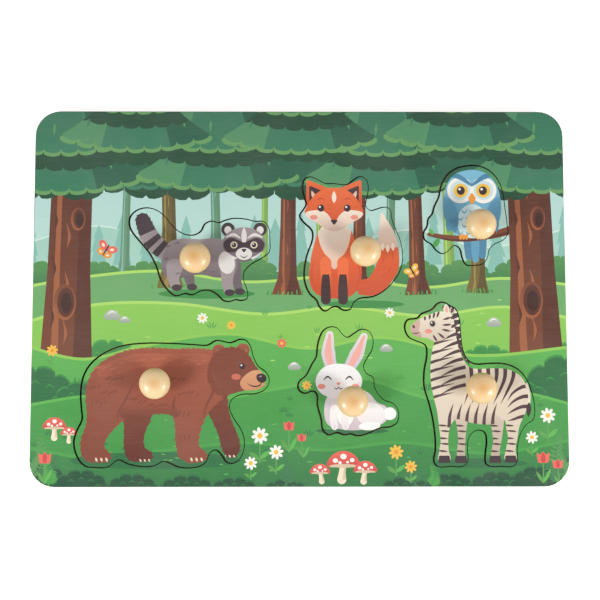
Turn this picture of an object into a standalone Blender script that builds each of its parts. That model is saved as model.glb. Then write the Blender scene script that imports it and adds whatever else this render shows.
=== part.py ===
# Wooden animal puzzle: a board with six cut-outs on a backing board, six animal pieces and their knobs.
# Metres, +Z up, +X along the long side, +Y towards the picture's top. The origin is under the middle.
from math import cos, pi, sin, sqrt

import bmesh
import bpy
from mathutils import Vector
from mathutils.geometry import interpolate_bezier

# Driving dimensions of the boards
BOARD_WIDTH = 0.297
BOARD_DEPTH = 0.210
CORNER_RADIUS = 0.014
RIM_EASE = 0.0005
BACKING_THICKNESS = 0.003
TOP_THICKNESS = 0.005

# Width of each animal piece across its outline
RACCOON_WIDTH = 0.0783
FOX_WIDTH = 0.0576
OWL_WIDTH = 0.0473
BEAR_WIDTH = 0.1074
RABBIT_WIDTH = 0.0548
ZEBRA_WIDTH = 0.0716

# Driving dimensions of a turned knob
KNOB_DIAMETER = 0.017
CROWN_HEIGHT = 0.0058
UNDERSIDE_HEIGHT = 0.0037
NECK_DIAMETER = 0.0086
NECK_HEIGHT = 0.0043
FOOT_DIAMETER = 0.0104
FOOT_HEIGHT = 0.0012
TENON_DIAMETER = 0.006

# Clearances: the glue line, the sawn gap round a piece, its seat, and the knob's fit
GLUE_LINE = 0.0003
CUT_GAP = 0.00065
SEAT_GAP = 0.0003
TENON_GAP = 0.0003
TENON_RECESS = 0.0004

# Fineness of the curves
OUTLINE_STEPS = 3
CORNER_STEPS = 8
HOLE_SIDES = 20
KNOB_SIDES = 24

# Levels of the stack, from the table up
TOP_UNDERSIDE = BACKING_THICKNESS + GLUE_LINE
TOP_FACE = TOP_UNDERSIDE + TOP_THICKNESS
PIECE_SEAT = BACKING_THICKNESS + SEAT_GAP

# Each animal: its width, its knob's place as a percentage of the board, how far off the middle it lies in its
# cut-out, as shares of the sawn gap, its colour, and its outline.
# An outline runs anticlockwise round the knob's axis, in millimetres of the piece at its own width.
ANIMALS = {
    "raccoon": {
        "width": RACCOON_WIDTH,
        "place": (-19.53, 9.76),
        "lie": (0.46, 0.1),
        "colour": (160, 145, 145),
        "outline": [
            (-28, 29.4), (-33.8, 27.6), (-37.1, 23.5), (-36.6, 17.5), (-32, 11.2), (-26, 4), (-22, -3.5),
            (-19.4, -11.2), (-14, -18.4), (-11, -20.1), (-5.9, -18.8), (-1.8, -19.5), (2.8, -17.3), (8, -17.1),
            (12.5, -19.8), (15.4, -22.7), (19, -23.2), (22.4, -22.2), (25.2, -22.7), (28.6, -21.5), (28.6, -17),
            (26.5, -11), (27, -6.5), (30.5, -2.6), (36.8, 1.1), (40.9, 4.6), (41.2, 11), (40.6, 18),
            (37.6, 21.7), (33.2, 21.7), (28, 23), (20.5, 23.4), (15.5, 22.1), (12.8, 21), (8.5, 21.9),
            (4.8, 20.2), (2.7, 16.2), (-1.5, 14), (-7.8, 15), (-13.3, 19.2), (-17.8, 24.8), (-22.5, 28.2),
        ],
    },
    "fox": {
        "width": FOX_WIDTH,
        "place": (12.12, 11.43),
        "lie": (0.46, 0.26),
        "colour": (240, 110, 65),
        "outline": [
            (-30.6, 43.5), (-33.4, 42), (-34.6, 38), (-33.6, 32), (-32.5, 28), (-34.2, 24.6), (-36.2, 21.4),
            (-34, 17.8), (-29.3, 13), (-28.9, 8.5), (-32, -0.5), (-33.6, -9), (-33.4, -15.7), (-30.6, -22.5),
            (-26.7, -26.2), (-25.3, -29.6), (-22, -32.2), (-18.5, -30.2), (-15.5, -29.7), (-11.8, -31.7),
            (-8, -31.1), (-6.4, -27.7), (-3.2, -25.2), (4.5, -24.1), (10.5, -21), (16, -15.7), (19.8, -9.5),
            (21.4, -2), (20.2, 7), (17, 15.2), (15.2, 20.5), (14.6, 25), (11.5, 26.3), (7, 25.2), (3.5, 24.4),
            (0.9, 27), (1.4, 31), (2.4, 37), (1.2, 42), (-2, 43.7), (-6, 41.7), (-9.5, 39.1), (-17, 39.7),
            (-22, 39.8), (-26, 41.9),
        ],
    },
    "owl": {
        "width": OWL_WIDTH,
        "place": (33.67, 18.81),
        "lie": (0.46, -0.2),
        "colour": (130, 190, 215),
        "outline": [
            (-5, 34.6), (-12, 33), (-17.6, 28.8), (-21, 22.2), (-22.2, 16.5), (-24.6, 11.6), (-26, 7),
            (-28.2, 4.3), (-28.9, 0), (-30.9, -3.6), (-30.3, -7.5), (-26.6, -10), (-23.8, -13.6), (-20.3, -15.4),
            (-17, -13.6), (-13.8, -10.7), (-10.8, -12.4), (-9.5, -17.5), (-7.2, -21.6), (-2.5, -21.9),
            (2.2, -20.9), (4.7, -17.7), (5.6, -13.5), (9, -9.8), (13.5, -7.8), (16.4, -4), (16.1, 1),
            (15, 10.5), (13.8, 19.5), (11.3, 26.5), (6.5, 31.8), (1, 34.3),
        ],
    },
    "bear": {
        "width": BEAR_WIDTH,
        "place": (-26.77, -23.1),
        "lie": (0.46, -0.1),
        "colour": (158, 92, 76),
        "outline": [
            (49.5, 24.2), (46, 24.7), (41, 22.8), (37, 23.6), (33, 24.1), (28.3, 21.5), (22, 21.7), (10, 22.4),
            (-8.5, 22.5), (-20.5, 20.7), (-30, 16.4), (-36.5, 10.8), (-40.2, 4), (-41.5, -5), (-40.9, -14),
            (-40.5, -19.5), (-43.5, -26), (-44.9, -32), (-42.8, -40), (-38.5, -44.9), (-34, -45.6),
            (-25.5, -45.3), (-22.3, -42.5), (-20, -41.5), (-15, -43.7), (-5.5, -45.3), (0, -44.6), (4.5, -42.2),
            (8, -43.4), (13, -45.5), (23, -45.5), (27.6, -43), (29.8, -38), (33, -36.2), (36.3, -38.8),
            (39.5, -43.1), (44, -43), (47.6, -39), (48.9, -31.5), (47, -25), (43, -19), (40.5, -12.5),
            (42, -8.3), (47.5, -5.7), (55, -5.3), (60.7, -2.5), (62.5, 2.5), (60.5, 6.7), (56.5, 9.7),
            (53.5, 15.5), (52.2, 20.5),
        ],
    },
    "rabbit": {
        "width": RABBIT_WIDTH,
        "place": (9.6, -27.86),
        "lie": (0.46, 0.26),
        "colour": (225, 215, 220),
        "outline": [
            (-11, 41.6), (-15.2, 39.9), (-17.7, 35.5), (-19, 30), (-19.5, 25), (-22, 20.8), (-25.3, 14.5),
            (-29.2, 10.9), (-29.4, 7), (-26, 4.7), (-21.3, 6), (-19.2, 4), (-19, -1.5), (-16.8, -10),
            (-16, -15.5), (-12.8, -18.1), (-8.2, -16.8), (-4.3, -18.1), (-0.8, -17.6), (3, -18.6), (8.5, -17.5),
            (15.5, -14.3), (21.5, -13.6), (25.2, -11), (25.4, -4), (22.5, -0.7), (18, 0.9), (14.3, 4.7),
            (12.4, 9), (12, 13.4), (8.2, 15.7), (6.6, 19.5), (8.7, 24.3), (11.5, 29.2), (11.9, 35), (9.5, 39.3),
            (5.3, 40.1), (1, 37.6), (-2.5, 35.7), (-5.5, 38), (-8, 40.9),
        ],
    },
    "zebra": {
        "width": ZEBRA_WIDTH,
        "place": (33.33, -24.29),
        "lie": (0.46, -0.26),
        "colour": (235, 222, 205),
        "outline": [
            (-19.7, 48), (-22.7, 47), (-25.5, 44), (-31.5, 41.4), (-34, 39), (-39.4, 38), (-40.9, 34),
            (-38.7, 28.5), (-34, 26.2), (-29.5, 24), (-28.7, 19), (-30.3, 10), (-30.4, 1), (-28, -7.5),
            (-26, -16), (-24.7, -26), (-24.6, -34), (-25.5, -40), (-23.5, -42.7), (-16, -42.8), (-9.5, -42.7),
            (-6.8, -40.3), (-6.9, -33), (-5.5, -26), (-1, -22.9), (2.8, -24.3), (3.7, -29), (2.9, -36),
            (3.2, -41.4), (5.5, -42.7), (12, -42.8), (18.3, -42.7), (20.4, -40.3), (20.6, -33), (22.7, -24.5),
            (26, -19.8), (29.8, -17), (30.7, -11), (29.3, -2.5), (26.5, 5), (21.5, 10.8), (14, 13.7), (6, 13.9),
            (-2.5, 13.7), (-5.9, 15.8), (-8.7, 21.5), (-9.7, 30), (-10.4, 38.5), (-12.2, 43.9), (-15.5, 46),
        ],
    },
}

BIRCH_COLOUR = (214, 182, 138)
PRINT_COLOUR = (116, 170, 110)
KNOB_COLOUR = (240, 212, 165)


def clear_scene():
    for item in list(bpy.data.objects):
        bpy.data.objects.remove(item, do_unlink=True)


def linear(level):
    share = level / 255
    return share / 12.92 if share <= 0.04045 else ((share + 0.055) / 1.055) ** 2.4


def finish(name, colour, roughness):
    material = bpy.data.materials.new(name)
    material.use_nodes = True
    shader = material.node_tree.nodes["Principled BSDF"]
    shader.inputs["Base Color"].default_value = [linear(level) for level in colour] + [1]
    shader.inputs["Roughness"].default_value = roughness
    shader.inputs["Metallic"].default_value = 0
    return material


def smooth_loop(points, steps):
    # A Bezier curve through every point, whose handles lie square to the corner's bisector
    corners = [Vector(point) for point in points]
    count = len(corners)
    spans = [(corners[(i + 1) % count] - corners[i]).normalized() for i in range(count)]
    along = [(spans[i - 1] + spans[i]).normalized() for i in range(count)]
    loop = []
    for i, start in enumerate(corners):
        end = corners[(i + 1) % count]
        reach = (end - start).length / 3
        leave = start + along[i] * reach
        arrive = end - along[(i + 1) % count] * reach
        loop += interpolate_bezier(start, leave, arrive, end, steps + 1)[:-1]
    return loop


def animal_loop(animal):
    across = [point[0] for point in animal["outline"]]
    scale = animal["width"] / (max(across) - min(across))
    return smooth_loop([(x * scale, y * scale) for x, y in animal["outline"]], OUTLINE_STEPS)


def circle_loop(radius, sides):
    angles = [2 * pi * i / sides for i in range(sides)]
    return [Vector((radius * cos(angle), radius * sin(angle))) for angle in angles]


def rounded_rectangle(width, depth, radius, steps):
    loop = []
    for quarter, (side, end) in enumerate(((1, 1), (-1, 1), (-1, -1), (1, -1))):
        middle = Vector((side * (width / 2 - radius), end * (depth / 2 - radius)))
        for step in range(steps + 1):
            angle = (quarter + step / steps) * pi / 2
            loop.append(middle + Vector((cos(angle), sin(angle))) * radius)
    return loop


def widened(loop, distance):
    # Moves each point of an anticlockwise loop outwards, square to the line between its neighbours
    result = []
    for i, point in enumerate(loop):
        along = (loop[(i + 1) % len(loop)] - loop[i - 1]).normalized()
        result.append(point + Vector((along.y, -along.x)) * distance)
    return result


def moved(loop, place):
    return [point + place for point in loop]


def add_object(name, mesh_builder, material, location=(0, 0, 0)):
    mesh = bpy.data.meshes.new(name)
    mesh_builder.to_mesh(mesh)
    mesh_builder.free()
    mesh.materials.append(material)
    item = bpy.data.objects.new(name, mesh)
    item.location = location
    bpy.context.collection.objects.link(item)
    return item


def add_ring(builder, loop, height):
    verts = [builder.verts.new((x, y, height)) for x, y in loop]
    edges = [builder.edges.new((verts[i - 1], verts[i])) for i in range(len(verts))]
    return verts, edges


def plate(name, outer, holes, bottom, top, material, ease=0, location=(0, 0, 0)):
    # A flat board: each loop becomes a wall, and the rings at both ends are filled as the faces.
    # The outer rim's two edges are eased by a small chamfer, where one is asked for.
    builder = bmesh.new()
    straight = [(0, bottom), (0, top)]
    eased = [(-ease, bottom), (0, bottom + ease), (0, top - ease), (-ease, top)]
    walls = [(outer, eased if ease else straight)] + [(hole, straight) for hole in holes]
    low_edges = []
    high_edges = []
    for loop, levels in walls:
        rings = [add_ring(builder, widened(loop, inset), height) for inset, height in levels]
        for (low, _), (high, _) in zip(rings, rings[1:]):
            for i in range(len(loop)):
                builder.faces.new((low[i - 1], low[i], high[i], high[i - 1]))
        low_edges += rings[0][1]
        high_edges += rings[-1][1]
    bmesh.ops.triangle_fill(builder, edges=low_edges, use_beauty=True)
    bmesh.ops.triangle_fill(builder, edges=high_edges, use_beauty=True)
    bmesh.ops.recalc_face_normals(builder, faces=builder.faces)
    return add_object(name, builder, material, location)


def knob_profile():
    # Radius and height of the turned knob, from its tenon's end to its crown. Height 0 is its shoulder.
    radius = KNOB_DIAMETER / 2
    neck = NECK_DIAMETER / 2
    foot = FOOT_DIAMETER / 2
    tenon = TENON_DIAMETER / 2
    tenon_length = SEAT_GAP + TOP_THICKNESS - TENON_RECESS
    head_start = FOOT_HEIGHT + NECK_HEIGHT
    equator = head_start + UNDERSIDE_HEIGHT
    under = sqrt(1 - (neck / radius) ** 2)
    points = [(0, -tenon_length), (tenon, -tenon_length), (tenon, 0), (foot, 0), (foot, FOOT_HEIGHT)]
    for share in (0.35, 0.7):
        points.append((neck + (foot - neck) * (1 - share) ** 2, FOOT_HEIGHT + NECK_HEIGHT * share))
    for share in (1, 0.8, 0.55, 0.3):
        drop = under * share
        points.append((radius * sqrt(1 - drop ** 2), equator - UNDERSIDE_HEIGHT * share))
    for degrees in (0, 18, 36, 54, 72, 90):
        angle = degrees * pi / 180
        points.append((radius * cos(angle), equator + CROWN_HEIGHT * sin(angle)))
    points[-1] = (0, points[-1][1])
    return points


def turned_knob(name, material, location):
    builder = bmesh.new()
    verts = [builder.verts.new((radius, 0, height)) for radius, height in knob_profile()]
    edges = [builder.edges.new(pair) for pair in zip(verts, verts[1:])]
    bmesh.ops.spin(
        builder, geom=verts + edges, cent=(0, 0, 0), axis=(0, 0, 1), angle=2 * pi, steps=KNOB_SIDES, use_merge=True
    )
    bmesh.ops.remove_doubles(builder, verts=builder.verts, dist=0.00001)
    bmesh.ops.recalc_face_normals(builder, faces=builder.faces)
    knob = add_object(name, builder, material, location)
    knob.data.shade_smooth()
    knob.data.set_sharp_from_angle(angle=pi / 4)
    return knob


def build_boards(cut_outs):
    birch = finish("birch_plywood", BIRCH_COLOUR, 0.7)
    printed = finish("printed_plywood", PRINT_COLOUR, 0.45)
    rim = rounded_rectangle(BOARD_WIDTH, BOARD_DEPTH, CORNER_RADIUS, CORNER_STEPS)
    plate("backing_board", rim, [], 0, BACKING_THICKNESS, birch, RIM_EASE)
    plate("top_board", rim, cut_outs, TOP_UNDERSIDE, TOP_FACE, printed, RIM_EASE)


def build_animals():
    knob_wood = finish("lacquered_knob", KNOB_COLOUR, 0.25)
    tenon_hole = circle_loop(TENON_DIAMETER / 2 + TENON_GAP, HOLE_SIDES)
    cut_outs = []
    for name, animal in ANIMALS.items():
        across, up = animal["place"]
        place = Vector((across / 100 * BOARD_WIDTH, up / 100 * BOARD_DEPTH))
        loop = animal_loop(animal)
        cut_outs.append(moved(widened(loop, CUT_GAP / 2), place))
        aside, ahead = animal["lie"]
        lie = Vector((place.x + aside * CUT_GAP, place.y + ahead * CUT_GAP, PIECE_SEAT))
        printed = finish(name + "_print", animal["colour"], 0.45)
        piece = widened(loop, -CUT_GAP / 2)
        plate(name + "_piece", piece, [tenon_hole], 0, TOP_THICKNESS, printed, location=lie)
        turned_knob(name + "_knob", knob_wood, lie + Vector((0, 0, TOP_THICKNESS + SEAT_GAP)))
    return cut_outs


clear_scene()
build_boards(build_animals())
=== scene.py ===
# Wooden animal puzzle: printed picture, plywood, laser-cut edges and lacquered knobs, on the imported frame
import random
from math import cos, pi, radians, sin, sqrt

import bmesh
import bpy
from mathutils import Matrix, Vector
from mathutils.geometry import delaunay_2d_cdt, interpolate_bezier


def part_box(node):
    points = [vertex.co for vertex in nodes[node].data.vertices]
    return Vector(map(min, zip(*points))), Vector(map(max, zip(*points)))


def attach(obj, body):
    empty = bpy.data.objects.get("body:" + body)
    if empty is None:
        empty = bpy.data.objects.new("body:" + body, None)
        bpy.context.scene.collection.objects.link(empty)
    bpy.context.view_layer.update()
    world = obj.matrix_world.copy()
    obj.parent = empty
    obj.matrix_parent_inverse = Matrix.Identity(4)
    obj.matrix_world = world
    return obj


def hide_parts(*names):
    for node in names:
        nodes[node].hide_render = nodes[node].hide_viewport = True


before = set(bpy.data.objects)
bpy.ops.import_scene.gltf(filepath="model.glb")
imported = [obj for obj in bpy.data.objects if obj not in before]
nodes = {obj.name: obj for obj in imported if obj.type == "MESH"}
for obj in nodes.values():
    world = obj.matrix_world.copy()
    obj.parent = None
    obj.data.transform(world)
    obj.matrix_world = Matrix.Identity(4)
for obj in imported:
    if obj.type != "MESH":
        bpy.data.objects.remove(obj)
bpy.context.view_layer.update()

animalNames = ["raccoon", "fox", "owl", "bear", "rabbit", "zebra"]
knobAxes = {name: (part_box(name + "_knob")[0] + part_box(name + "_knob")[1]) / 2 for name in animalNames}
print("frame loaded, nodes:", len(nodes))


# The picture's inks, as red, green and blue from 0 to 255

inks = {
    "skyHigh": (174, 216, 210), "skyLow": (216, 240, 226), "hazeHill": (166, 210, 194),
    "hazeFir": (140, 194, 180), "farTrunk": (118, 158, 128), "farTrunkShade": (98, 142, 112),
    "farTrunkLit": (140, 194, 180), "farLime": (150, 188, 92), "farLimeShade": (124, 168, 88),
    "farLimeLit": (178, 224, 112), "olive": (124, 108, 60), "oliveShade": (96, 84, 50),
    "oliveLit": (156, 140, 78), "bark": (126, 74, 54), "barkShade": (92, 54, 44), "barkLit": (164, 100, 68),
    "hollow": (66, 40, 36), "firDark": (40, 78, 58), "firMid": (50, 104, 80), "firLit": (66, 128, 98),
    "firSide": (92, 150, 106), "firTip": (108, 160, 100), "farGreen": (116, 172, 112), "lime": (146, 204, 92),
    "limeLit": (178, 224, 112), "grass": (100, 180, 88), "grassDeep": (78, 160, 78), "meadow": (66, 142, 74),
    "shade": (52, 112, 70), "deep": (40, 82, 58), "bush": (64, 122, 80), "bushLit": (94, 152, 90),
    "stem": (96, 162, 84), "coral": (236, 112, 98), "coralDark": (206, 80, 76), "yellow": (246, 196, 84),
    "orange": (238, 156, 66), "white": (250, 248, 240), "cream": (246, 230, 202),
    "creamShade": (222, 198, 168), "stone": (198, 204, 190), "stoneShade": (160, 170, 160),
    "dark": (56, 44, 48), "blush": (240, 152, 136), "pink": (246, 178, 166),
}


def linear(level):
    share = level / 255
    return share / 12.92 if share <= 0.04045 else ((share + 0.055) / 1.055) ** 2.4


def inkColour(ink):
    return Vector([linear(level) for level in (inks[ink] if isinstance(ink, str) else ink)])


# Drawing tools: loops of points in millimetres

def smoothLine(points, closed=False, steps=5):
    # A curve through the points, whose handles run along the line between the neighbours
    knots = [Vector(point) for point in points]
    count = len(knots)
    line = []
    for i in range(count if closed else count - 1):
        start, end = knots[i], knots[(i + 1) % count]
        before = knots[i - 1] if closed or i else start
        after = knots[(i + 2) % count] if closed or i + 2 < count else end
        reach = (end - start).length / 3
        leave = start + (end - before).normalized() * reach
        arrive = end - (after - start).normalized() * reach
        line += interpolate_bezier(start, leave, arrive, end, steps + 1)[:-1]
    return line if closed else line + [knots[-1]]


def blob(*points):
    return smoothLine(points, True, 4)


def beside(middle, side, *points):
    return [(middle + side * x, y) for x, y in points]


def mirrored(middle, *half):
    # An outline that is alike on both sides of an upright line, from its right half
    return beside(middle, 1, *half) + beside(middle, -1, *[(x, y) for x, y in half[::-1] if x])


def sized(x, y, size, *points):
    return [Vector((x + size * a, y + size * b)) for a, b in points]


def turned(x, y, degrees):
    across, up = cos(radians(degrees)), sin(radians(degrees))
    return Vector((x * across - y * up, x * up + y * across))


def oval(x, y, across, up=None, sides=24, turn=0):
    up = up or across
    turns = [2 * pi * i / sides for i in range(sides)]
    return [Vector((x, y)) + turned(across * cos(a), up * sin(a), turn) for a in turns]


def leaf(x, y, length, width, turn, steps=5):
    # Pointed at both ends, from its stalk at x, y along the turn
    base = Vector((x, y))
    tip = base + turned(length, 0, turn)
    sides = []
    for side in (-width, width):
        near = base + turned(length * 0.3, side * 0.62, turn)
        far = base + turned(length * 0.68, side * 0.55, turn)
        sides.append(interpolate_bezier(base, near, far, tip, steps + 1))
    return sides[0][:-1] + sides[1][:0:-1]


def soft(radius, *corners):
    # A polygon with rounded corners
    loop = []
    corners = [Vector(corner) for corner in corners]
    for i, corner in enumerate(corners):
        before = (corners[i - 1] - corner).normalized() * radius
        after = (corners[(i + 1) % len(corners)] - corner).normalized() * radius
        bend = [corner + before, corner + before * 0.45, corner + after * 0.45, corner + after]
        loop += interpolate_bezier(*bend, 4)
    return loop


def band(points, widths, steps=6, first=0, last=1, rounded=True):
    # A strip of changing width along a curve, or the part of it between two shares of its length
    line = smoothLine(points, steps=steps)
    end = len(line) - 1
    low, high = round(first * end), round(last * end)
    left, right, caps = [], [], {}
    for i in range(low, high + 1):
        along = (line[min(i + 1, end)] - line[max(i - 1, 0)]).normalized()
        place = i / end * (len(widths) - 1)
        step = min(int(place), len(widths) - 2)
        half = (widths[step] + (widths[step + 1] - widths[step]) * (place - step)) / 2
        side = Vector((-along.y, along.x)) * half
        left.append(line[i] + side)
        right.append(line[i] - side)
        if rounded and i in (low, high) and half > 0.3:
            outward = (along if i == high else -along) * half
            turns = range(20, 180, 20) if i == high else range(160, 0, -20)
            caps[i] = [line[i] + outward * sin(radians(a)) + side * cos(radians(a)) for a in turns]
    return left + caps.get(high, []) + right[::-1] + caps.get(low, [])


def lobes(points, swell, steps=5):
    # A bumpy edge: an arc over each stretch between two points, swelling to the right of the way along
    line = []
    for start, end in zip(points, points[1:]):
        start, end = Vector(start), Vector(end)
        along = end - start
        out = Vector((along.y, -along.x)) * swell
        leave, arrive = start + out - along * 0.08, end + out + along * 0.08
        line += interpolate_bezier(start, leave, arrive, end, steps + 1)[:-1]
    return line + [Vector(points[-1])]


def shaggy(loop, length, spacing, seed, lean=1.25):
    # Fur round an anticlockwise outline: short pointed locks that lie along the way round
    chance = random.Random(seed)
    steps, travelled = [loop[0]], 0
    for before, point in zip(loop, loop[1:] + loop[:1]):
        travelled += (point - before).length
        if travelled > spacing:
            steps.append(point)
            travelled = 0
    furry = []
    for start, end in zip(steps, steps[1:] + steps[:1]):
        along = end - start
        if along.length < 0.05:
            continue
        out = Vector((along.y, -along.x)).normalized() * length * chance.uniform(0.5, 1)
        furry += [start, start + along * 0.6 + out * 0.45, start + along * lean + out]
    return furry


picture = []   # the shapes of the picture in hand, from the lowest to the topmost


def stamp(loop, ink, host=None, turn=90):
    # Adds an inked shape. Two inks in a list fade from one to the other along the turn. A shape with a
    # host, or with several in a list, shows there alone.
    low, high = ink if isinstance(ink, list) else (ink, ink)
    ahead = turned(1, 0, turn)
    reach = [point.dot(ahead) for point in loop]
    picture.append({"loop": loop, "ink": inkColour(low), "fade": inkColour(high), "ahead": ahead,
                    "low": min(reach), "span": max(max(reach) - min(reach), 0.001),
                    "hosts": [host] if isinstance(host, dict) else host})
    return picture[-1]


def limb(points, widths, ink):
    return stamp(band(points, widths), ink)


def stroke(points, widths, ink, host=None, steps=6):
    return stamp(band(points, widths, steps, rounded=False), ink, host)


def takePicture(move=Vector((0, 0))):
    # Hands over the shapes drawn so far, moved to their place
    shapes = picture[:]
    picture.clear()
    for shape in shapes:
        shape["loop"] = [point + move for point in shape["loop"]]
        shape["low"] += move.dot(shape["ahead"])
    return shapes


# What stands in the wood

scenery = {
    "groundFoot": -112,      # the hills reach down past the board's lower edge, in millimetres
    "openSide": 110,         # small growth keeps within this on both sides, where it isn't below the next
    "openTop": -48,
}


def hill(crest, ink, fadeTo, rim, rimWidth=1.6):
    line, foot = smoothLine(crest, steps=8), scenery["groundFoot"]
    ground = stamp(line + [Vector((line[-1].x, foot)), Vector((line[0].x, foot))], [fadeTo, ink])
    stroke([(x, y - rimWidth * 0.5) for x, y in crest], [rimWidth] * len(crest), rim, ground, 8)


def farFir(x, y, height, width):
    half = [(0, 1), (0.3, 0.66), (0.18, 0.68), (0.42, 0.34), (0.26, 0.37), (0.5, 0)]
    stamp([Vector((x + across * width, y + up * height)) for across, up in mirrored(0, *half)], "hazeFir")


def trunk(x, foot, top, width, kind="bark", lean=0, marks=13):
    height = top - foot
    wood, shade, lit = None, kind + "Shade", kind + "Lit"
    spine = [(0, -1 / height), (0.2, 0.12), (0.5, 0.5), (1, 1)]
    for aside, widths, ink in ((0, (1.9, 1.15, 0.95, 0.9), [kind, shade]),
                               (0.36, (0.9, 0.42, 0.34, 0.3), shade), (-0.26, (0.3, 0.16, 0.12, 0.1), lit)):
        line = [(x + lean * a + width * aside, foot + height * b) for a, b in spine]
        strip = stroke(line, [width * share for share in widths], ink, wood)
        wood = wood or strip
    for i in range(marks):
        # Long cracks in the bark, staggered up the trunk
        up = foot + height * (0.04 + 0.9 * i / marks)
        across = x + lean * (up - foot) / height + width * (-0.36 + 0.3 * (i * 2 % 3))
        crack = [(across + width * a, up + height * b) for a, b in ((0, 0), (0.05, 0.05), (-0.02, 0.11))]
        stroke(crack, [0.1, width * 0.07, 0.1], lit if i * 2 % 3 == 1 else shade, wood, 4)
    for up, across, size in ((0.36, -0.06, 0.2), (0.72, 0.16, 0.13)) if width > 14 else ():
        # Knot holes in the near trunks
        right, level, size = x + lean * up + across * width, foot + height * up, width * size
        stamp(oval(right, level, size * 1.25, size * 2), [lit, "bark"], wood)
        stamp(oval(right + width * 0.02, level, size * 0.95, size * 1.65), shade, wood)
        stamp(oval(right + width * 0.03, level - width * 0.02, size * 0.6, size * 1.15), "hollow", wood)


def roots(x, foot, reach, seed, blades=22, size=1):
    # Grass blades that hide a trunk's foot
    chance = random.Random(seed)
    for i in range(blades):
        across = x - reach / 2 + reach * i / (blades - 1)
        length, turn = chance.uniform(4, 7.5) * size, 90 + chance.uniform(-24, 24)
        ink = chance.choice(("grassDeep", "grass", "meadow"))
        stamp(leaf(across, foot - 1.5, length, 1.7 * size, turn, 4), ink)


def firTier(x, bottom, height, half, teeth):
    # One skirt of a fir, from its peak down the right side, back along the drooping tips and up the left side
    peak, tip = Vector((x, bottom + height)), Vector((x + half, bottom))
    side = interpolate_bezier(peak, peak + Vector((half * 0.16, -height * 0.42)),
                              tip + Vector((-half * 0.34, height * 0.16)), tip, 8)
    shares = [1 - 2 * i / teeth for i in range(teeth + 1)]
    tips = [(x + half * share, bottom - 7 * (1 - share ** 2)) for share in shares]
    left = [Vector((2 * x - point.x, point.y)) for point in side[:0:-1]]
    return side[:-1] + lobes(tips, -0.34, 6)[:-1] + left


def fir(x, skirt, spread, dark="firDark", mid="firMid", lit="firLit", tip="firTip"):
    rise, height = 22, 48.4   # from one tier to the next, and of a tier
    for i in range(2):
        half = spread / 2 * (1 - 0.12 * i)
        bottom = skirt + rise * i
        teeth = round(half / 4.8)
        if i:
            stamp(firTier(x + 1.5, bottom - 9, height, half, teeth), dark, tier)
        stamp(firTier(x, bottom - 0.8, height, half + 0.8, teeth), tip)
        tier = stamp(firTier(x, bottom + 1.2, height - 1.5, half - 0.8, teeth), [lit, mid])
        for side, tones in ((-1, ["firSide", lit]), (1, [mid, dark])):
            top = bottom + height
            edge = beside(x, side, (half * 0.5, bottom - 12), (half + 4, bottom - 12), (half + 4, top),
                          (0, top), (half * 0.34, bottom + height * 0.3))
            stamp(soft(2, *edge), tones, tier)
        for k in range(4):
            # Needle sprays
            share = -0.6 + 0.4 * k + (i % 2) * 4 / half
            up = bottom + 15 + 4 * ((k * 2 + i) % 3) - 6 * (1 - share ** 2)
            stamp(leaf(x + half * share, up, 7, 1.7, -90 + share * 34, 4), "firSide" if k % 2 else lit, tier)


def bush(x, y, width, height, ink, lit, rim=0):
    edge = [(x + width / 2 * cos(pi * i / 6), y + height * sin(pi * i / 6)) for i in range(7)]
    foot = [Vector((x - width / 2, y - 4)), Vector((x + width / 2, y - 4))]
    if rim:
        stamp(lobes([(a, b + rim) for a, b in edge], 0.46) + foot, lit)
    mass = stamp(lobes(edge, 0.42) + foot, ink if rim else [ink, lit])
    reach = width * 0.06
    for a, b in edge[1:5]:
        a, b = a * 0.72 + x * 0.28, b * 0.72 + y * 0.28
        arc = [(a - reach, b - reach * 0.2), (a, b + reach * 0.5), (a + reach, b - reach * 0.2)]
        stroke(arc, [0.2, 1, 0.2], lit, mass, 4)


def tuft(x, y, size, ink, blades):
    for i in range(blades):
        aside = i - (blades - 1) / 2
        length = size * (1 - 0.14 * abs(aside))
        stamp(leaf(x + aside * size * 0.12, y, length, size * 0.17, 90 - aside * 24, 4), ink)


def fern(x, y, size, turn, ink):
    curl = 20 if turn < 90 else -20
    foot = Vector((x, y))
    spine = [foot, foot + turned(size * 0.5, 0, turn), foot + turned(size, size * curl / 60, turn)]
    stroke(spine, [0.9, 0.6, 0.3], ink, None, 5)
    line = smoothLine(spine, steps=6)
    for i in range(2, len(line) - 1):
        share = i / len(line)
        length = size * 0.34 * (1 - share) + 1.2
        for side in (-58, 58):
            stamp(leaf(*line[i], length, length * 0.34, turn + curl * share + side, 3), ink)


def daisy(x, y, size, stem=0, ink="white"):
    if stem:
        stroke([(x, y - stem), (x, y - stem * 0.5), (x, y)], [0.9, 0.7, 0.6], "stem", None, 4)
        stamp(leaf(x, y - stem * 0.85, stem * 0.5, stem * 0.2, 40), "grass")
        stamp(leaf(x, y - stem * 0.9, stem * 0.5, stem * 0.2, 142), "stem")
    for turn in range(10, 370, 45):
        petal = Vector((x, y)) + turned(size * 0.62, 0, turn)
        stamp(oval(*petal, size * 0.42, size * 0.22, 10, turn), ink)
    stamp(oval(x, y, size * 0.34, sides=12), "orange" if ink == "yellow" else "yellow")


def tulip(x, y, size, stem, lean=0):
    stroke([(x + lean, y - stem), (x + lean * 0.3, y - stem * 0.4), (x, y)], [1, 0.8, 0.7], "stem", None, 4)
    stamp(leaf(x + lean, y - stem, stem * 0.8, stem * 0.2, 62), "grass")
    stamp(leaf(x + lean, y - stem, stem * 0.7, stem * 0.2, 122), "stem")
    outline = sized(x, y, size, *mirrored(0, (0, 1.12), (0.26, 0.7), (0.62, 1), (0.5, 0)))
    cup = stamp(soft(size * 0.18, *outline), "coral")
    stamp(leaf(x, y - size * 0.1, size * 1.1, size * 0.5, 90), "coralDark", cup)


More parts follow.
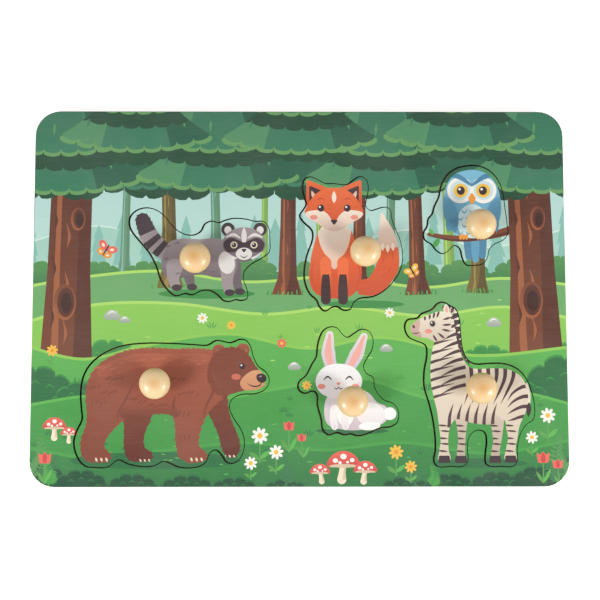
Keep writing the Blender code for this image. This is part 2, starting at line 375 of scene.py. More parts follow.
def toadstool(x, y, size, lean=0):
    right, top = x + lean, y + size * 0.62
    spine = [(x, y), (x + lean * 0.3, y + size * 0.3), (right, top)]
    stalk = stamp(band(spine, [size * 0.36, size * 0.26, size * 0.24], 4), "cream")
    side = [(a + size * 0.1, b) for a, b in spine]
    stroke(side, [size * 0.14, size * 0.1, size * 0.1], "creamShade", stalk, 4)
    half = (0, 0.5), (0.3, 0.43), (0.56, 0.2), (0.64, -0.08), (0.3, -0.14), (0, -0.16)
    cap = stamp(blob(*sized(right, top, size, *mirrored(0, *half))), ["coralDark", "coral"])
    stamp(oval(right, top - size * 0.1, size * 0.56, size * 0.09, 16), "creamShade", cap)
    for a, b, radius in ((-0.32, 0.12, 0.09), (0, 0.28, 0.11), (0.34, 0.14, 0.08), (-0.14, 0.04, 0.06),
                         (0.16, 0.06, 0.05)):
        radius *= size
        stamp(oval(right + a * size, top + b * size, radius * 1.15, radius, 12), "white", cap)


def stone(x, y, width, height):
    outline = (-0.5, 0), (-0.36, 0.7), (0, 1), (0.36, 0.62), (0.5, 0), (0, -0.22)
    rock = stamp(blob(*[(x + width * a, y + height * b) for a, b in outline]), ["stoneShade", "stone"])
    shine = [(x + width * a, y + height * b) for a, b in ((-0.3, 0.45), (-0.04, 0.78), (0.2, 0.62))]
    stroke(shine, [0.2, 0.8, 0.2], "white", rock, 4)


def butterfly(x, y, size, turn, ink, inkDark):
    middle = Vector((x, y))
    for side in (-1, 1):
        for along, out, across, up, tone in ((0.26, 0.4, 0.46, 0.3, ink), (-0.3, 0.32, 0.34, 0.24, inkDark)):
            place = middle + turned(along * size, side * out * size, turn)
            wing = stamp(oval(*place, across * size, up * size, 14, turn + side * 58), tone)
            stamp(oval(*place, across * size * 0.4, up * size * 0.4, 10, turn + side * 58), "cream", wing)
    half = turned(0.5 * size, 0, turn)
    stroke([middle - half, middle, middle + half], [0.5, 0.9, 0.7], "dark", None, 3)


def perch(x=0, y=0):
    # The owl's branch, in millimetres from the owl's knob
    points = [(x - 28, y - 4.4), (x - 15, y - 6.6), (x - 2, y - 6.2), (x + 16, y - 2.5), (x + 36, y + 7)]
    wood = limb(points, [2, 3.4, 3.8, 4.6, 6.5], "bark")
    stroke([(a, b - 1) for a, b in points], [0.6, 1.2, 1.3, 1.6, 2.4], "barkShade", wood)
    stamp(leaf(x - 22, y - 6.4, 7.2, 3.6, 236), "grassDeep")
    stamp(leaf(x - 25.5, y - 4.8, 4.4, 2.4, 120), "grass")


def plant(draw, *rows):
    for row in rows:
        draw(*row)


def drawWood():
    # The whole board's picture, a fir wood over rolling meadows. Hands back the shapes of the owl's branch.
    chance, side, top = random.Random(7), scenery["openSide"], scenery["openTop"]
    sky = (-152, -110), (152, -110), (152, 110), (-152, 110)
    stamp([Vector(corner) for corner in sky], ["skyLow", "skyHigh"])
    hill([(-154, 30), (-112, 40), (-66, 28), (-26, 37), (14, 27), (62, 38), (104, 28), (154, 40)],
         "hazeHill", "skyLow", "skyLow", 0.8)
    for i in range(25):
        farFir(-149 + 12.4 * i + chance.uniform(-2, 2), 14 + chance.uniform(-3, 4),
               chance.uniform(22, 36), chance.uniform(9, 13))
    for x, foot, width, lean in ((-98, 12, 4.6, 2), (-46, 10, 5.4, -2), (-20, 10, 3.6, 1), (12, 8, 4.4, -1),
                                 (50, 10, 5, 2), (84, 8, 5.4, -2)):
        trunk(x, foot, 80, width, "farTrunk" if x % 4 else "farLime", lean, 3)
    for x, width in ((-140, 34), (-112, 26), (-84, 30), (-52, 26), (-26, 30), (6, 28), (34, 32), (66, 26),
                     (92, 30), (124, 34), (146, 24)):
        bush(x, 8, width, chance.uniform(9, 14), "bush", "bushLit")
    hill([(-154, 6), (-118, 12), (-76, 15), (-30, 9), (20, 12), (70, 6), (112, 11), (154, 7)],
         "farGreen", "grass", "limeLit")
    for x, foot, width, lean, kind in ((-72, 6, 8, -2, "olive"), (-7, 2, 9, 1, "bark"), (33, 4, 7, 1, "bark"),
                                       (66, 2, 8, -2, "bark"), (99, 3, 7, 2, "olive")):
        trunk(x, foot, 78, width, kind, lean, 8)
        roots(x, foot, width * 2.5, x, 9, 0.6)
    hill([(-154, -14), (-116, -4), (-70, -3), (-20, -9), (24, -5), (70, -10), (114, -5), (154, -12)],
         "lime", "grass", "limeLit")
    perch(*knobAxes["owl"].xy * 1000)
    branch = picture[-4:]
    for x, width, height in ((-106, 34, 13), (104, 30, 10), (150, 26, 12)):
        bush(x, -40, width, height, "meadow", "grassDeep", 1)
    trunk(-130, -50, 80, 25, lean=3)
    trunk(132, -48, 80, 26, lean=-4)
    # The near firs' skirts close over the top
    shelter = [(-158 + 12 * i, 56 + (6, 1, 4, 0, 5)[i % 5]) for i in range(28)]
    stamp(lobes(shelter, 0.36) + [Vector((166, 112)), Vector((-158, 112))], ["firDark", "firMid"])
    for x, skirt, spread in ((-88, 70, 92), (2, 72, 96), (92, 74, 92)):
        fir(x, skirt, spread, "deep", "firDark", "firMid", "firLit")
    plant(fir, (-134, 67, 88), (-46, 69, 90), (47, 67, 88), (136, 68, 86), (-92, 91, 84), (0, 90, 86),
          (90, 92, 84))
    hill([(-154, -26), (-120, -34), (-88, -27), (-40, -20), (4, -28), (46, -22), (96, -32), (154, -27)],
         "grass", "grassDeep", "lime")
    plant(roots, (-130, -50, 46, 1), (130, -48, 46, 2))
    for row in ((-146, -64, 44, 22), (147, -64, 46, 28), (122, -62, 32, 12), (-120, -62, 32, 12)):
        bush(*row, "shade", "meadow", 1)
    hill([(-154, -60), (-112, -54), (-62, -58), (-10, -50), (30, -44), (74, -56), (118, -52), (154, -60)],
         "grassDeep", "meadow", "grass")
    hill([(-154, -82), (-116, -88), (-72, -84), (-30, -80), (12, -84), (56, -80), (104, -86), (154, -78)],
         "meadow", "shade", "grassDeep")
    # The ground's shade below the animals
    for name, right, low, across, ink in (("raccoon", 6, -19, 27, "meadow"), ("fox", 0, -28.5, 22, "meadow"),
                                          ("bear", 0, -42, 47, "shade"), ("rabbit", 0, -16, 20, "shade"),
                                          ("zebra", 0, -41, 26, "shade")):
        x, y = knobAxes[name].xy * 1000
        stamp(oval(x + right, y + low, across, across * 0.1), ink)
    for x, width, height in ((-146, 36, 15), (-120, 30, 10), (-92, 28, 8), (-62, 30, 7), (-36, 26, 6),
            (-8, 24, 5), (58, 28, 6), (82, 28, 8), (108, 30, 9), (130, 28, 12), (150, 26, 17)):
        bush(x, -108, width, height, "deep", "shade", 0.8)
    # Small growth on the meadows, clear of the near trunks
    for i in range(46):
        x, y = chance.uniform(-146, 146), chance.uniform(-98, 2)
        if abs(x) <= side or y <= top:
            tuft(x, y, chance.uniform(3, 4.6), "grassDeep" if y > -50 else "shade", chance.choice((3, 4, 5)))
    for i in range(60):
        x, y = chance.uniform(-146, 146), chance.uniform(-98, 4)
        if abs(x) <= side or y <= top:
            blade = leaf(x, y, chance.uniform(2.4, 4), 0.8, chance.uniform(-12, 12), 3)
            stamp(blade, "limeLit" if y > -45 else "grass")
    plant(fern, (-147, -102, 24, 64, "bushLit"), (-146, -102, 19, 30, "bush"),
        (-138, -106, 16, 84, "grassDeep"), (147, -102, 24, 116, "bushLit"), (147, -101, 19, 150, "bush"),
        (-8, -105, 15, 74, "bush"), (64, -105, 15, 104, "bush"), (72, -106, 12, 70, "grassDeep"))
    plant(toadstool, (23, -101, 14, 1), (35, -102, 10, 1), (12, -102, 8.6, -1), (-135, -78, 10),
          (-127, -80, 7))
    plant(daisy, (-22, -77, 4.6, 15), (-13, -86, 4, 12), (-27, -92, 3.6, 9), (53, -86, 4, 13, "yellow"),
        (61, -94, 3.4, 9, "yellow"), (137, -66, 4.2, 14), (128, -78, 3.4, 10), (-137, -30, 3.2, 8, "yellow"),
        (-54, -12, 3), (-38, -16, 2.6, 0, "yellow"), (50, -9, 2.8), (-10, -26, 2.8, 0, "coral"),
        (70, -20, 2.6, 0, "yellow"))
    plant(tulip, (134, -92, 6, 11), (142, -95, 5, 9, 1), (-140, -92, 6, 11), (-6, -74, 5, 12),
          (1, -80, 4.2, 9, 1))
    plant(stone, (-104, -12, 9, 4.6), (-97, -14, 6, 3), (108, -16, 8, 4.4), (-3, -40, 7, 3.6),
          (48, -30, 7, 3.6), (78, -26, 6, 3))
    plant(butterfly, (-108, 26, 7, 60, "coral", "orange"), (63, 14, 5.4, 120, "yellow", "orange"))
    return branch


# The animals, in millimetres from their knobs

def eye(x, y, size):
    stamp(oval(x, y, size, size * 1.08, 16), "dark")
    stamp(oval(x - size * 0.3, y + size * 0.36, size * 0.32, sides=8), "white")


def drawRaccoon():
    fur, furDark, mask, light = (162, 150, 152), (112, 100, 106), (68, 56, 62), (230, 224, 220)
    tailLine, tailWidths = [(-12, 1), (-19.5, 6), (-26, 13), (-30, 22.4)], [7.5, 9.4, 10, 8]
    tail = stamp(shaggy(band(tailLine, tailWidths, 8)[::-1], 0.7, 1.6, 9), fur)
    stamp(oval(-30.4, 23.6, 6, 5.6, turn=20), mask, tail)
    for first, last in ((0.1, 0.2), (0.3, 0.42), (0.52, 0.64), (0.76, 1)):
        stamp(band(tailLine, [width + 3 for width in tailWidths], 8, first, last, False), mask, tail)
    limb([(-5, -4), (-3.8, -10), (-2.8, -14.6)], [7, 5.6, 4.6], furDark)
    limb([(21.5, -3), (22.6, -11), (23.8, -17)], [7, 5, 4.6], furDark)
    body = stamp(blob((-17.5, 5), (-15, 10), (-8, 12), (2, 11.6), (12, 12), (20, 8), (23, 0), (21.5, -8),
        (12, -10), (4, -8.4), (-4, -9), (-12, -11), (-18, -8), (-19.4, -1)), [furDark, fur])
    limb([(-12, -4), (-12.6, -10), (-11.4, -15)], [9.5, 6.6, 5.2], fur)
    limb([(17.6, -3), (17.4, -12), (18, -17.6)], [9, 6.2, 5.2], fur)
    for x, y in ((-10.7, -15.6), (-2.2, -15.2), (18.7, -18.4), (24.4, -17.8)):
        stamp(oval(x, y, 2.9, 1.9, 14), mask)
    stamp(oval(17, -1.5, 4.6, 6.4, turn=8), light)
    for x, y, turn in ((-14, 8.2, 200), (-9, 9.8, 190), (2, 9.4, 184), (-15.5, 2, 230), (-8.5, -7, 200),
                       (6.8, -5.8, 190), (11, -6.6, 180)):
        stamp(leaf(x, y, 3.6, 0.9, turn, 3), furDark, body)
    for x in (17.6, 35.6):
        stamp(oval(x, 17.2, 3.8, 3.9, 18), mask)
        stamp(oval(x, 16.8, 2, 2.2, 14), light)
    nose = 26.6
    head = stamp(blob(*mirrored(nose, (0, 18.4), (6.2, 17), (10.6, 13.4), (12, 7.6), (8.4, 2.6), (3.4, -0.4),
                                (0, -1.2))), [furDark, fur])
    stamp(leaf(nose, 8, 10.6, 3.6, 90), light, head)
    stamp(blob(*mirrored(nose, (0, 9.8), (2.6, 10.9), (7.6, 12.4), (11.4, 9.4), (9.8, 5), (5.2, 4.4),
        (1.6, 6.2), (0, 7))), mask, head)
    for side in (-1, 1):
        stroke(beside(nose, side, (10.4, 12.6), (5.8, 14.2), (2, 12.2)), [0.6, 1.9, 0.6], light, head)
        stamp(blob(*beside(nose, side, (11.2, 4.4), (7, 2.6), (4, 0.6), (9, 1.6))), light, head)
        stamp(oval(nose + side * 5.6, 8.4, 1.95, sides=18), "cream")
        eye(nose + side * 5.6, 8.4, 1.3)
    stamp(oval(nose, 3.4, 4.6, 3.5, 18), light)
    stamp(soft(0.8, (24.9, 6.2), (28.3, 6.2), (nose, 3.9)), "dark")
    stroke([(24.6, 2.4), (nose, 1.3), (28.6, 2.4)], [0.3, 0.6, 0.3], "dark")


def drawFox():
    fur, furDark, light, lightDark = (240, 116, 68), (206, 84, 52), (250, 232, 212), (232, 196, 176)
    sock = (70, 50, 52)
    tailLine = [(-4, -19), (5, -18), (12.4, -8), (13.2, 2), (12, 12), (9.6, 23)]
    tailWidths = [8, 10.5, 12.6, 11.6, 8.6, 1]
    tail = stroke(tailLine, tailWidths, [furDark, fur], None, 8)
    stamp(band(tailLine, [width + 0.8 for width in tailWidths], 8, 0.62, 1, False), [lightDark, light], tail)
    for i in range(4):
        stamp(leaf(7.4 + 2.7 * i, 5.2 + i % 2, 4.8, 2.4, 264 + 4 * i), light, tail)
    for x, y, turn in ((8, -14, 40), (12.5, -11.5, 60), (15.6, -4, 88), (9.5, -6, 70)):
        stamp(leaf(x, y, 5, 1.1, turn, 3), furDark, tail)
    body = stamp(blob((-24, 15), (-28, 6), (-30.4, -5), (-31, -15), (-27.4, -22.4), (-18, -25.2), (-8, -24),
                      (-2.6, -17), (-2, -6), (-5, 6), (-9, 15), (-17, 18)), [furDark, fur])
    for x, side in ((-28.2, -1), (-4.2, 1)):
        stroke([(x, -4), (x + side * 1.6, -13), (x - side * 2.2, -22)], [0.4, 1.4, 0.4], furDark, body)
    stamp(blob((-25, 16), (-25.4, 7), (-22.4, 0), (-19.6, -3), (-17, -9), (-14.2, -3), (-11.2, 0), (-8.4, 7),
               (-9, 16)), [lightDark, light], body)
    for x in (-21.8, -12.2):
        limb([(x, -5), (x + 0.1, -15), (x, -26)], [6.4, 5.6, 5.4], fur)
        limb([(x, -14), (x, -20), (x, -26)], [4.6, 5.4, 5.5], sock)
        for aside in (-1.4, 1.4):
            stamp(leaf(x + aside, -14.4, 3, 1.6, 90, 3), sock)
    nose = -17
    for side in (-1, 1):
        ear = stamp(soft(1.6, *beside(nose, side, (15.4, 42), (15.8, 26), (2.6, 36.6))), [furDark, fur])
        stamp(soft(1.2, *beside(nose, side, (14, 38.6), (13.8, 29), (6.6, 35.4))), sock, ear)
        stamp(leaf(nose + side * 10.4, 30, 6, 2.4, 90 - side * 22), lightDark, ear)
    head = stamp(blob(*mirrored(nose, (0, 37.2), (5, 36.6), (10.4, 33.6), (13.8, 29), (16.4, 22.2),
        (10, 17.4), (5, 14), (0, 12.4))), [furDark, fur])
    for side in (-1, 1):
        stamp(blob(*beside(nose, side, (16.4, 22), (11, 24.4), (5, 23.4), (1, 18), (0, 12), (6, 13),
            (11, 17))), [lightDark, light], head)
        eye(nose + side * 7.4, 25.6, 1.9)
        stroke(beside(nose, side, (9.8, 30.4), (7.6, 31.2), (5.4, 30.4)), [0.3, 0.9, 0.3], furDark)
        stamp(oval(nose + side * 11.4, 20.4, 2.2, 1.4, 14), "blush")
    stamp(leaf(nose, 28.4, 7, 3, 90), light)
    stamp(soft(1, (-19.3, 19), (-14.7, 19), (nose, 15.8)), "dark")


def drawOwl():
    feather, featherDark, wing, pale = (132, 192, 216), (104, 164, 194), (84, 138, 170), (206, 230, 234)
    for x, length, ink in ((-6.4, 11, wing), (2, 10.4, wing), (-2.2, 12.6, featherDark)):
        limb([(x, -6), (x * 0.96, -6 - length * 0.5), (x * 0.92, -6 - length)], [4.6, 4.6, 3.6], ink)
    perch()
    body = stamp(blob((-5, 32.2), (-12.5, 30), (-17, 25), (-19.4, 17), (-19.8, 9), (-17.4, 1), (-12, -4.6),
        (-4, -6.6), (4, -5.4), (9.6, -0.6), (12.4, 7), (12.4, 16), (10, 24), (5.4, 29.6), (0, 31.8)),
        [featherDark, feather])
    beak = -3.6
    stamp(oval(beak, 2.4, 8.4, 10.4), pale, body)
    for row in range(4):
        for i in range(3 + row % 2):
            x, y = beak + (i - (2 + row % 2) / 2) * 4.4, 9.4 - 4 * row
            stroke([(x - 1.5, y), (x, y - 1.6), (x + 1.5, y)], [0.3, 0.9, 0.3], featherDark, body, 4)
    for side in (-1, 1):
        x = beak + side * 13
        pinion = stamp(blob(*beside(x, side, (2.6, 17), (-3, 13), (-5.4, 5), (-4, -2.6), (0, -4.6), (3.4, 3),
            (4, 11))), [wing, featherDark], body)
        for i in range(4):
            stamp(leaf(x - side * (4 - 1.8 * i), 6 - 0.6 * i, 8, 2.2, 270 + side * (8 - 5 * i)), wing, pinion)
        for aside, y, radius, ink in ((6.5, 20.6, 7.4, "white"), (6.5, 20.6, 5.6, pale),
                (6.3, 20.4, 4, "yellow")):
            stamp(oval(beak + side * aside, y, radius), ink)
        eye(beak + side * 6.2, 20.4, 2.3)
        stamp(band(beside(beak, side, (14, 28.6), (8, 28.6), (0, 23.4)), [1, 3, 1.4], 5), wing, body)
    stamp(soft(1, (beak, 19.6), (-1.2, 16), (beak, 11.8), (-6, 16)), "orange")
    for x in (-10.3, -8.6, -6.9, -0.5, 1.2, 2.9):
        stamp(oval(x, -5.8, 0.9, 1.7, 10), "orange")


def drawBear():
    fur, furDark, furLit = (166, 92, 70), (130, 71, 56), (184, 108, 82)
    light, claw = (208, 142, 104), (238, 216, 188)
    # The legs of the far side, each with the place of its first claw
    for x, y, *leg in ((-4, -41, (-20, -10), (-17.4, -22), (-17.4, -32), (-16.6, -38.6), (-13.6, -42),
            (-4.4, -42.2), (-1.4, -40), (-2.8, -37), (-6.4, -34.8), (-6.4, -27), (-2.6, -18), (-2, -10)),
            (42.6, -38.8, (25, -6), (30.6, -19), (34.4, -27.6), (36.2, -34.4), (38.6, -39.4), (42.4, -40.4),
            (45.6, -37.8), (46, -31.8), (43.8, -25.8), (40.8, -18.6), (39.2, -11), (38, -3))):
        far = stamp(shaggy(blob(*leg), 0.8, 2.6, 3), [(98, 52, 43), furDark])
        for i in range(3):
            stamp(leaf(x - 2.4 * i, y, 2, 1.2, 300, 3), claw, far)
    outline = blob((31, 18.6), (20, 19.4), (8, 19.2), (-6, 19.7), (-18, 18), (-27, 14.2), (-34, 8.4),
        (-37.6, 1.4), (-38.7, -6), (-38.1, -14), (-37.8, -20), (-39.4, -26), (-41.2, -33), (-40, -39.4),
        (-36.6, -42.3), (-27.4, -42.5), (-24.6, -40.2), (-26, -37.2), (-28.8, -35), (-27.2, -29.6),
        (-22.4, -23.6), (-16, -18.4), (-8, -17), (2, -16.2), (9, -17.2), (10.8, -24), (11, -31), (12.4, -38),
        (15, -42.2), (25.4, -42.4), (28.3, -40.2), (27, -37), (23.7, -35), (23.5, -28.6), (25.8, -20.6),
        (30.4, -13.2), (36, -8), (41, -1), (41, 10), (37, 16))
    coat = stamp(shaggy(outline, 1.1, 2.5, 5), [furDark, fur], turn=70)
    stamp(blob((-33, 6), (-22, 14), (-8, 17), (8, 16.6), (22, 16.8), (30, 14), (22, 10), (6, 9.6), (-10, 9),
        (-22, 5)), [fur, (176, 100, 76)], coat)
    stamp(blob((-18, -19), (-8, -17.6), (4, -17), (12, -18), (10, -12), (2, -11), (-10, -11.6), (-20, -14)),
          [(116, 63, 50), (147, 81, 62)], coat)
    for points in ([(-13, 0), (-16.4, -8), (-20.6, -15), (-21.4, -21)],
            [(31.6, 2), (31, -5), (27.6, -12), (26, -19)], [(10.6, -6), (9.4, -12), (10.6, -19)]):
        stroke(points, [0.3, 1.5, 1.3, 0.3], furDark, coat)
    locks = random.Random(11)
    for ink, *rows in ((furLit, (-26, 10, 5, 200), (-10, 13.6, 6, 190), (8, 13.6, 6, 186),
            (24, 12.6, 5, 190)), (furDark, (-33, 0, 4, 230), (-30, -9, 4, 244), (-24, -3, 4, 224),
            (-9, -8, 5, 214), (4, -11, 4, 206), (16, -14, 4, 256), (20, -4, 5, 222), (-34, -27, 3, 262),
            (17, -28, 3, 266), (14, 3.4, 4, 204), (-20, 3.6, 4, 206))):
        for x, y, count, turn in rows:
            for i in range(count):
                lock = leaf(x + 2.4 * i - 1.2 * count, y + locks.uniform(-0.9, 0.9), locks.uniform(3, 4.6),
                    1.1, turn + locks.uniform(-12, 12), 4)
                stamp(lock, ink, coat)
    for x in (-33, -30.2, -27.4, 19.2, 22, 24.8):
        stamp(leaf(x, -40.2, 2.6, 1.4, 292, 4), claw, coat)
    for x, y in ((34.4, 18.4), (47.8, 18.9)):
        stamp(shaggy(oval(x, y, 3.5, sides=28), 0.5, 1.2, 2), [furDark, fur])
        stamp(oval(x + 0.3, y - 0.3, 2, sides=16), [light, furDark])
    outline = blob((35.6, 19.2), (31.4, 16), (29, 10), (28.2, 4), (30.6, -2), (34.2, -6), (40, -5.8),
        (47.6, -3.4), (55, -3), (59.6, -0.4), (59.8, 4.2), (56, 8), (52.4, 13.4), (49.2, 18), (43, 20.3))
    head = stamp(shaggy(outline, 0.8, 2.4, 8), [furDark, fur])
    stamp(blob((33, 15), (38, 18.4), (46, 18.2), (49.6, 14), (45, 14.6), (38, 14)), [fur, furLit], head)
    for points in ([(31, 9), (32, 3), (35.4, -2.4)], [(34, 5.6), (35.2, 1), (38.6, -3)]):
        stamp(shaggy(band(points, [0.4, 1.8, 0.4]), 0.9, 1.4, 4), furDark, head)
    stamp(blob((49.2, 5), (54.2, 7.6), (61, 5.8), (61, -2), (54.6, -4), (48.4, -3.2), (46.2, 0.8)),
          [light, (222, 164, 120)], head)
    stamp(blob((55.6, 5.2), (59.4, 5.4), (60.8, 2.6), (58.6, 0.6), (55.8, 2)), "dark")
    stamp(oval(57.4, 4.2, 0.9, 0.5, turn=10), (150, 130, 130))
    stroke([(58, 0.8), (57, -0.8), (53.4, -1.2), (50, 0.4)], [0.4, 0.7, 0.7, 0.2], "dark")
    stamp(oval(47.2, 9.8, 2.2, 2.4, 18), furDark)
    eye(47.4, 9.8, 1.6)
    stroke([(44.6, 13.2), (47.2, 14.2), (49.8, 13)], [0.3, 1, 0.3], furDark)
    stamp(oval(44, 4, 2.6, 1.7, 16), (206, 112, 92), head)


def drawRabbit():
    fur, furDark, light = (236, 228, 230), (206, 192, 200), (252, 250, 248)
    for points in ([(-10.6, 16), (-13, 27), (-12.2, 37)], [(-3, 16), (2.6, 26), (6.8, 36)]):
        limb(points, [6, 7.8, 4.2], [furDark, fur])
        limb(points, [2, 4.2, 1.4], "pink")
    body = stamp(blob((-14, 2), (-15.4, -6), (-13.4, -12.6), (-6, -15.2), (4, -15.6), (14, -13.4),
        (19.6, -9.4), (19, -3), (14, -0.5), (9, 5), (0, 8), (-9, 7)), [furDark, fur])
    stamp(oval(20.8, -6.6, 3.7, 3.5, 16), light)
    haunch = stamp(oval(10.4, -7, 8, 6.6, turn=-10), [fur, light])
    stroke([(3.4, -5), (5.6, -1.4), (10, 0)], [0.3, 1, 0.3], furDark, haunch)
    stamp(oval(9.6, -13.4, 6, 2.3, turn=4), light)
    stamp(oval(-3.6, -7, 4.6, 6.4), light, body)
    for x in (-9.6, -3.6):
        limb([(x, -4), (x - 0.6, -9), (x, -13.6)], [4.8, 4.2, 4], [fur, light])
        stroke([(x, -14.6), (x, -13)], [0.4, 0.4], furDark)
    stamp(blob((-20, 10), (-19, 15), (-14.8, 19.4), (-7.4, 21), (0, 19.4), (4.6, 15), (5.6, 10), (2.6, 5),
               (-2.4, 2.4), (-7.4, 1.6), (-12.4, 2.4), (-17.4, 5)), [fur, light])
    nose = -7.4
    for side in (-1, 1):
        x = nose + side * 6
        stroke([(x - 2.2, 12), (x, 13.8), (x + 2.2, 12)], [0.4, 1, 0.4], "dark")
        stamp(oval(nose + side * 9.4, 8.4, 2.2, 1.5, 14), "blush")
        stroke(beside(nose, side, (0, 8), (1.2, 7), (2.4, 7.8)), [0.4, 0.6, 0.2], "dark")
    stamp(soft(0.7, (-8.8, 10.6), (-6, 10.6), (nose, 8.6)), "blush")
    daisy(-25, 9, 2.7, ink="yellow")


def drawZebra():
    coat, coatDark, stripe, hoof = (246, 234, 212), (216, 198, 178), (86, 64, 66), (62, 48, 52)
    striped = []
    for leg in ([(-16, -10), (-12.9, -19), (-11.9, -28), (-12.9, -35), (-12.9, -39.7), (-8.3, -39.7),
            (-8.3, -34), (-8, -27), (-7, -19), (-4, -12)], [(4, -12), (6.4, -21), (7.4, -29), (6, -35),
            (5.8, -39.7), (10.7, -39.7), (10.7, -34), (12, -28), (13.2, -20), (14, -10)]):
        striped.append(stamp(soft(1.2, *leg), [(190, 172, 156), coatDark]))
    outline = blob((-14, 42), (-20, 41), (-22, 34), (-24.6, 26), (-26.4, 18), (-27, 9), (-26.4, 1), (-25, -6),
        (-23.4, -13), (-22.4, -22), (-21.7, -29), (-22.7, -35), (-22.8, -39.6), (-16.7, -39.6), (-17.3, -34),
        (-17.5, -27), (-16, -20), (-12.6, -16.8), (-5, -18.8), (3, -19.8), (10, -19), (13.4, -17),
        (14.6, -22), (15.5, -27.4), (14.2, -33.6), (13.8, -39.6), (19.7, -39.6), (19.5, -33.6), (20.7, -27),
        (22, -20.4), (25.4, -13), (27.2, -6), (26.2, 1), (22.8, 7), (16.6, 10.5), (8, 11.3), (0, 10.9),
        (-5.6, 12), (-9, 17), (-11.4, 24), (-12.4, 32))
    body = stamp(outline, [coatDark, coat], turn=100)
    striped.append(body)
    stamp(blob((-15, -17), (-4, -19.4), (6, -20.4), (12, -19), (9, -14), (0, -13.6), (-10, -12.6)),
          [(198, 180, 160), (224, 208, 188)], body)
    for x, low in ((-19.8, -39.7), (16.8, -39.7), (-10.6, -39.8), (8.3, -39.8)):
        stamp(soft(0.6, (x - 2.9, low + 2.9), (x + 2.9, low + 2.9), (x + 3.4, low - 1), (x - 3.4, low - 1)),
            hoof)
        for i in range(5):
            side, turn = (3.8, 176) if i % 2 else (-3.8, -4)
            stamp(leaf(x + side, low + 5.6 + 3.5 * i, 6.2, 1.3, turn, 4), stripe, striped)
    # Stripes lean with the body: down the neck, over the back, up from the belly and round the haunch
    for i in range(9):
        y = 38.4 - 4.9 * i
        stroke([(-7.4, y + 3), (-14, y + 1.2), (-22, y - 2.6)], [2, 1.7, 0.1], stripe, body)
        stroke([(-29, y - 5.2), (-23, y - 3.2), (-13.6, y - 1.2)], [1.8, 1.5, 0.1], stripe, body)
    for i in range(6):
        x = -5.6 + 4.8 * i
        line = [(x + 1, 13), (x + 1.4 - 0.2 * i, 6), (x - 0.2 - 0.5 * i, -1), (x - 2.8 - 0.8 * i, -8.6)]
        stroke(line, [2.3, 2, 1.5, 0.1], stripe, body)
    for i in range(6):
        x = -16 + 4.8 * i
        stroke([(x - 1, -21.4), (x - 0.4, -14.6), (x + 1.6, -8)], [2.1, 1.6, 0.1], stripe, body)
    for i in range(4):
        line = [(28.6, 1.6 - 5.8 * i), (23.6, 0.8 - 5.4 * i), (18.4, -2.6 - 4.8 * i), (15.4, -7 - 3.6 * i)]
        stroke(line, [2.3, 1.9, 1.2, 0.1], stripe, body)
    stroke([(26, 3), (27.6, -3), (27.5, -9)], [1.7, 1.4, 1.1], [coat, coatDark])
    stamp(leaf(27.5, -7.4, 8.4, 3.2, 266), hoof)
    crest = [(-19.6, 45.2), (-14.6, 44.6), (-12.2, 40), (-11, 32), (-9.8, 24), (-7.4, 17.4), (-5.2, 13.4)]
    mane = stamp(shaggy(band(crest, [2, 3.6, 4, 4, 3.8, 3, 1.2]), 0.7, 1.6, 6, 0.9), [stripe, hoof])
    for i in range(8):
        stamp(leaf(-14.6 + 0.9 * i + (1.1 if i > 5 else 0), 42 - 3.7 * i, 5, 1.5, 14, 4), coat, mane)
    for x, turn, ink, inner in ((-15, 72, coatDark, stripe), (-17.4, 96, coat, "pink")):
        ear = stamp(leaf(x, 41, 6.2, 4, turn), ink)
        stamp(leaf(x, 41.8, 4.2, 1.9, turn), inner, ear)
    head = stamp(blob((-15, 38), (-17.4, 42), (-21.6, 42.9), (-26.4, 41.3), (-31, 39.4), (-35.4, 37),
        (-37.8, 33.6), (-36.8, 30.2), (-33, 28.5), (-28.6, 28), (-24.8, 26.3), (-20, 26.9), (-16, 30.6)),
        [coatDark, coat])
    stamp(blob((-33.4, 39.6), (-40, 38), (-40, 28), (-33, 26.6), (-31.6, 29.4), (-33.2, 32), (-32.4, 35.6)),
          [(196, 158, 148), (224, 188, 172)], head)
    stamp(oval(-36, 34.4, 0.7, 1, 12, 20), stripe)
    stroke([(-37, 31), (-34.8, 30.6), (-32.4, 31.4)], [0.2, 0.7, 0.2], stripe)
    for x, y, length, turn in ((-21.6, 43.4, 4.6, 250), (-24.2, 42.6, 4, 256), (-26.8, 41.6, 3.4, 262),
                               (-15, 39.6, 5, 196), (-14.8, 35.6, 5.6, 184), (-15.4, 31.8, 5.4, 168),
                               (-18.6, 27.6, 5.4, 140), (-23, 26, 4.6, 122), (-29.6, 40.4, 2.8, 266)):
        stamp(leaf(x, y, length, 1.5, turn, 4), stripe, head)
    stamp(oval(-25.4, 36, 2.1, 2.2, 18), coatDark)
    eye(-25.5, 36, 1.5)
    stamp(oval(-27.8, 31.8, 2.1, 1.3, 16), "blush", head)


# The printed faces: thin closed skins that lie on the wood, cut along the same lines

printedFace = {
    "thickness": 0.0001,      # ink and its clear coat
    "lift": 0.00002,          # clear of the wood below
    "edgeGap": 0.05,          # kept back from the cut edge, in millimetres
    "rimEase": 0.45,          # how far the board's print runs down its eased rim, in millimetres
    "bareStrip": 0.03,        # share of the map's height that is left to the underside
    "mapGap": 0.005,          # between the two on the map
    "grain": 0.02,            # how much the wood's grain shows through the ink
    "blotch": ((255, 250, 240), 0.02),   # a colour, and how strongly it lies over the ink
    "pore": ((70, 50, 42), 0.05),
    "roughness": 0.52,
    "specular": 0.22,
}


def area(loop):
    return sum(a.x * b.y - b.x * a.y for a, b in zip(loop, loop[1:] + loop[:1])) / 2


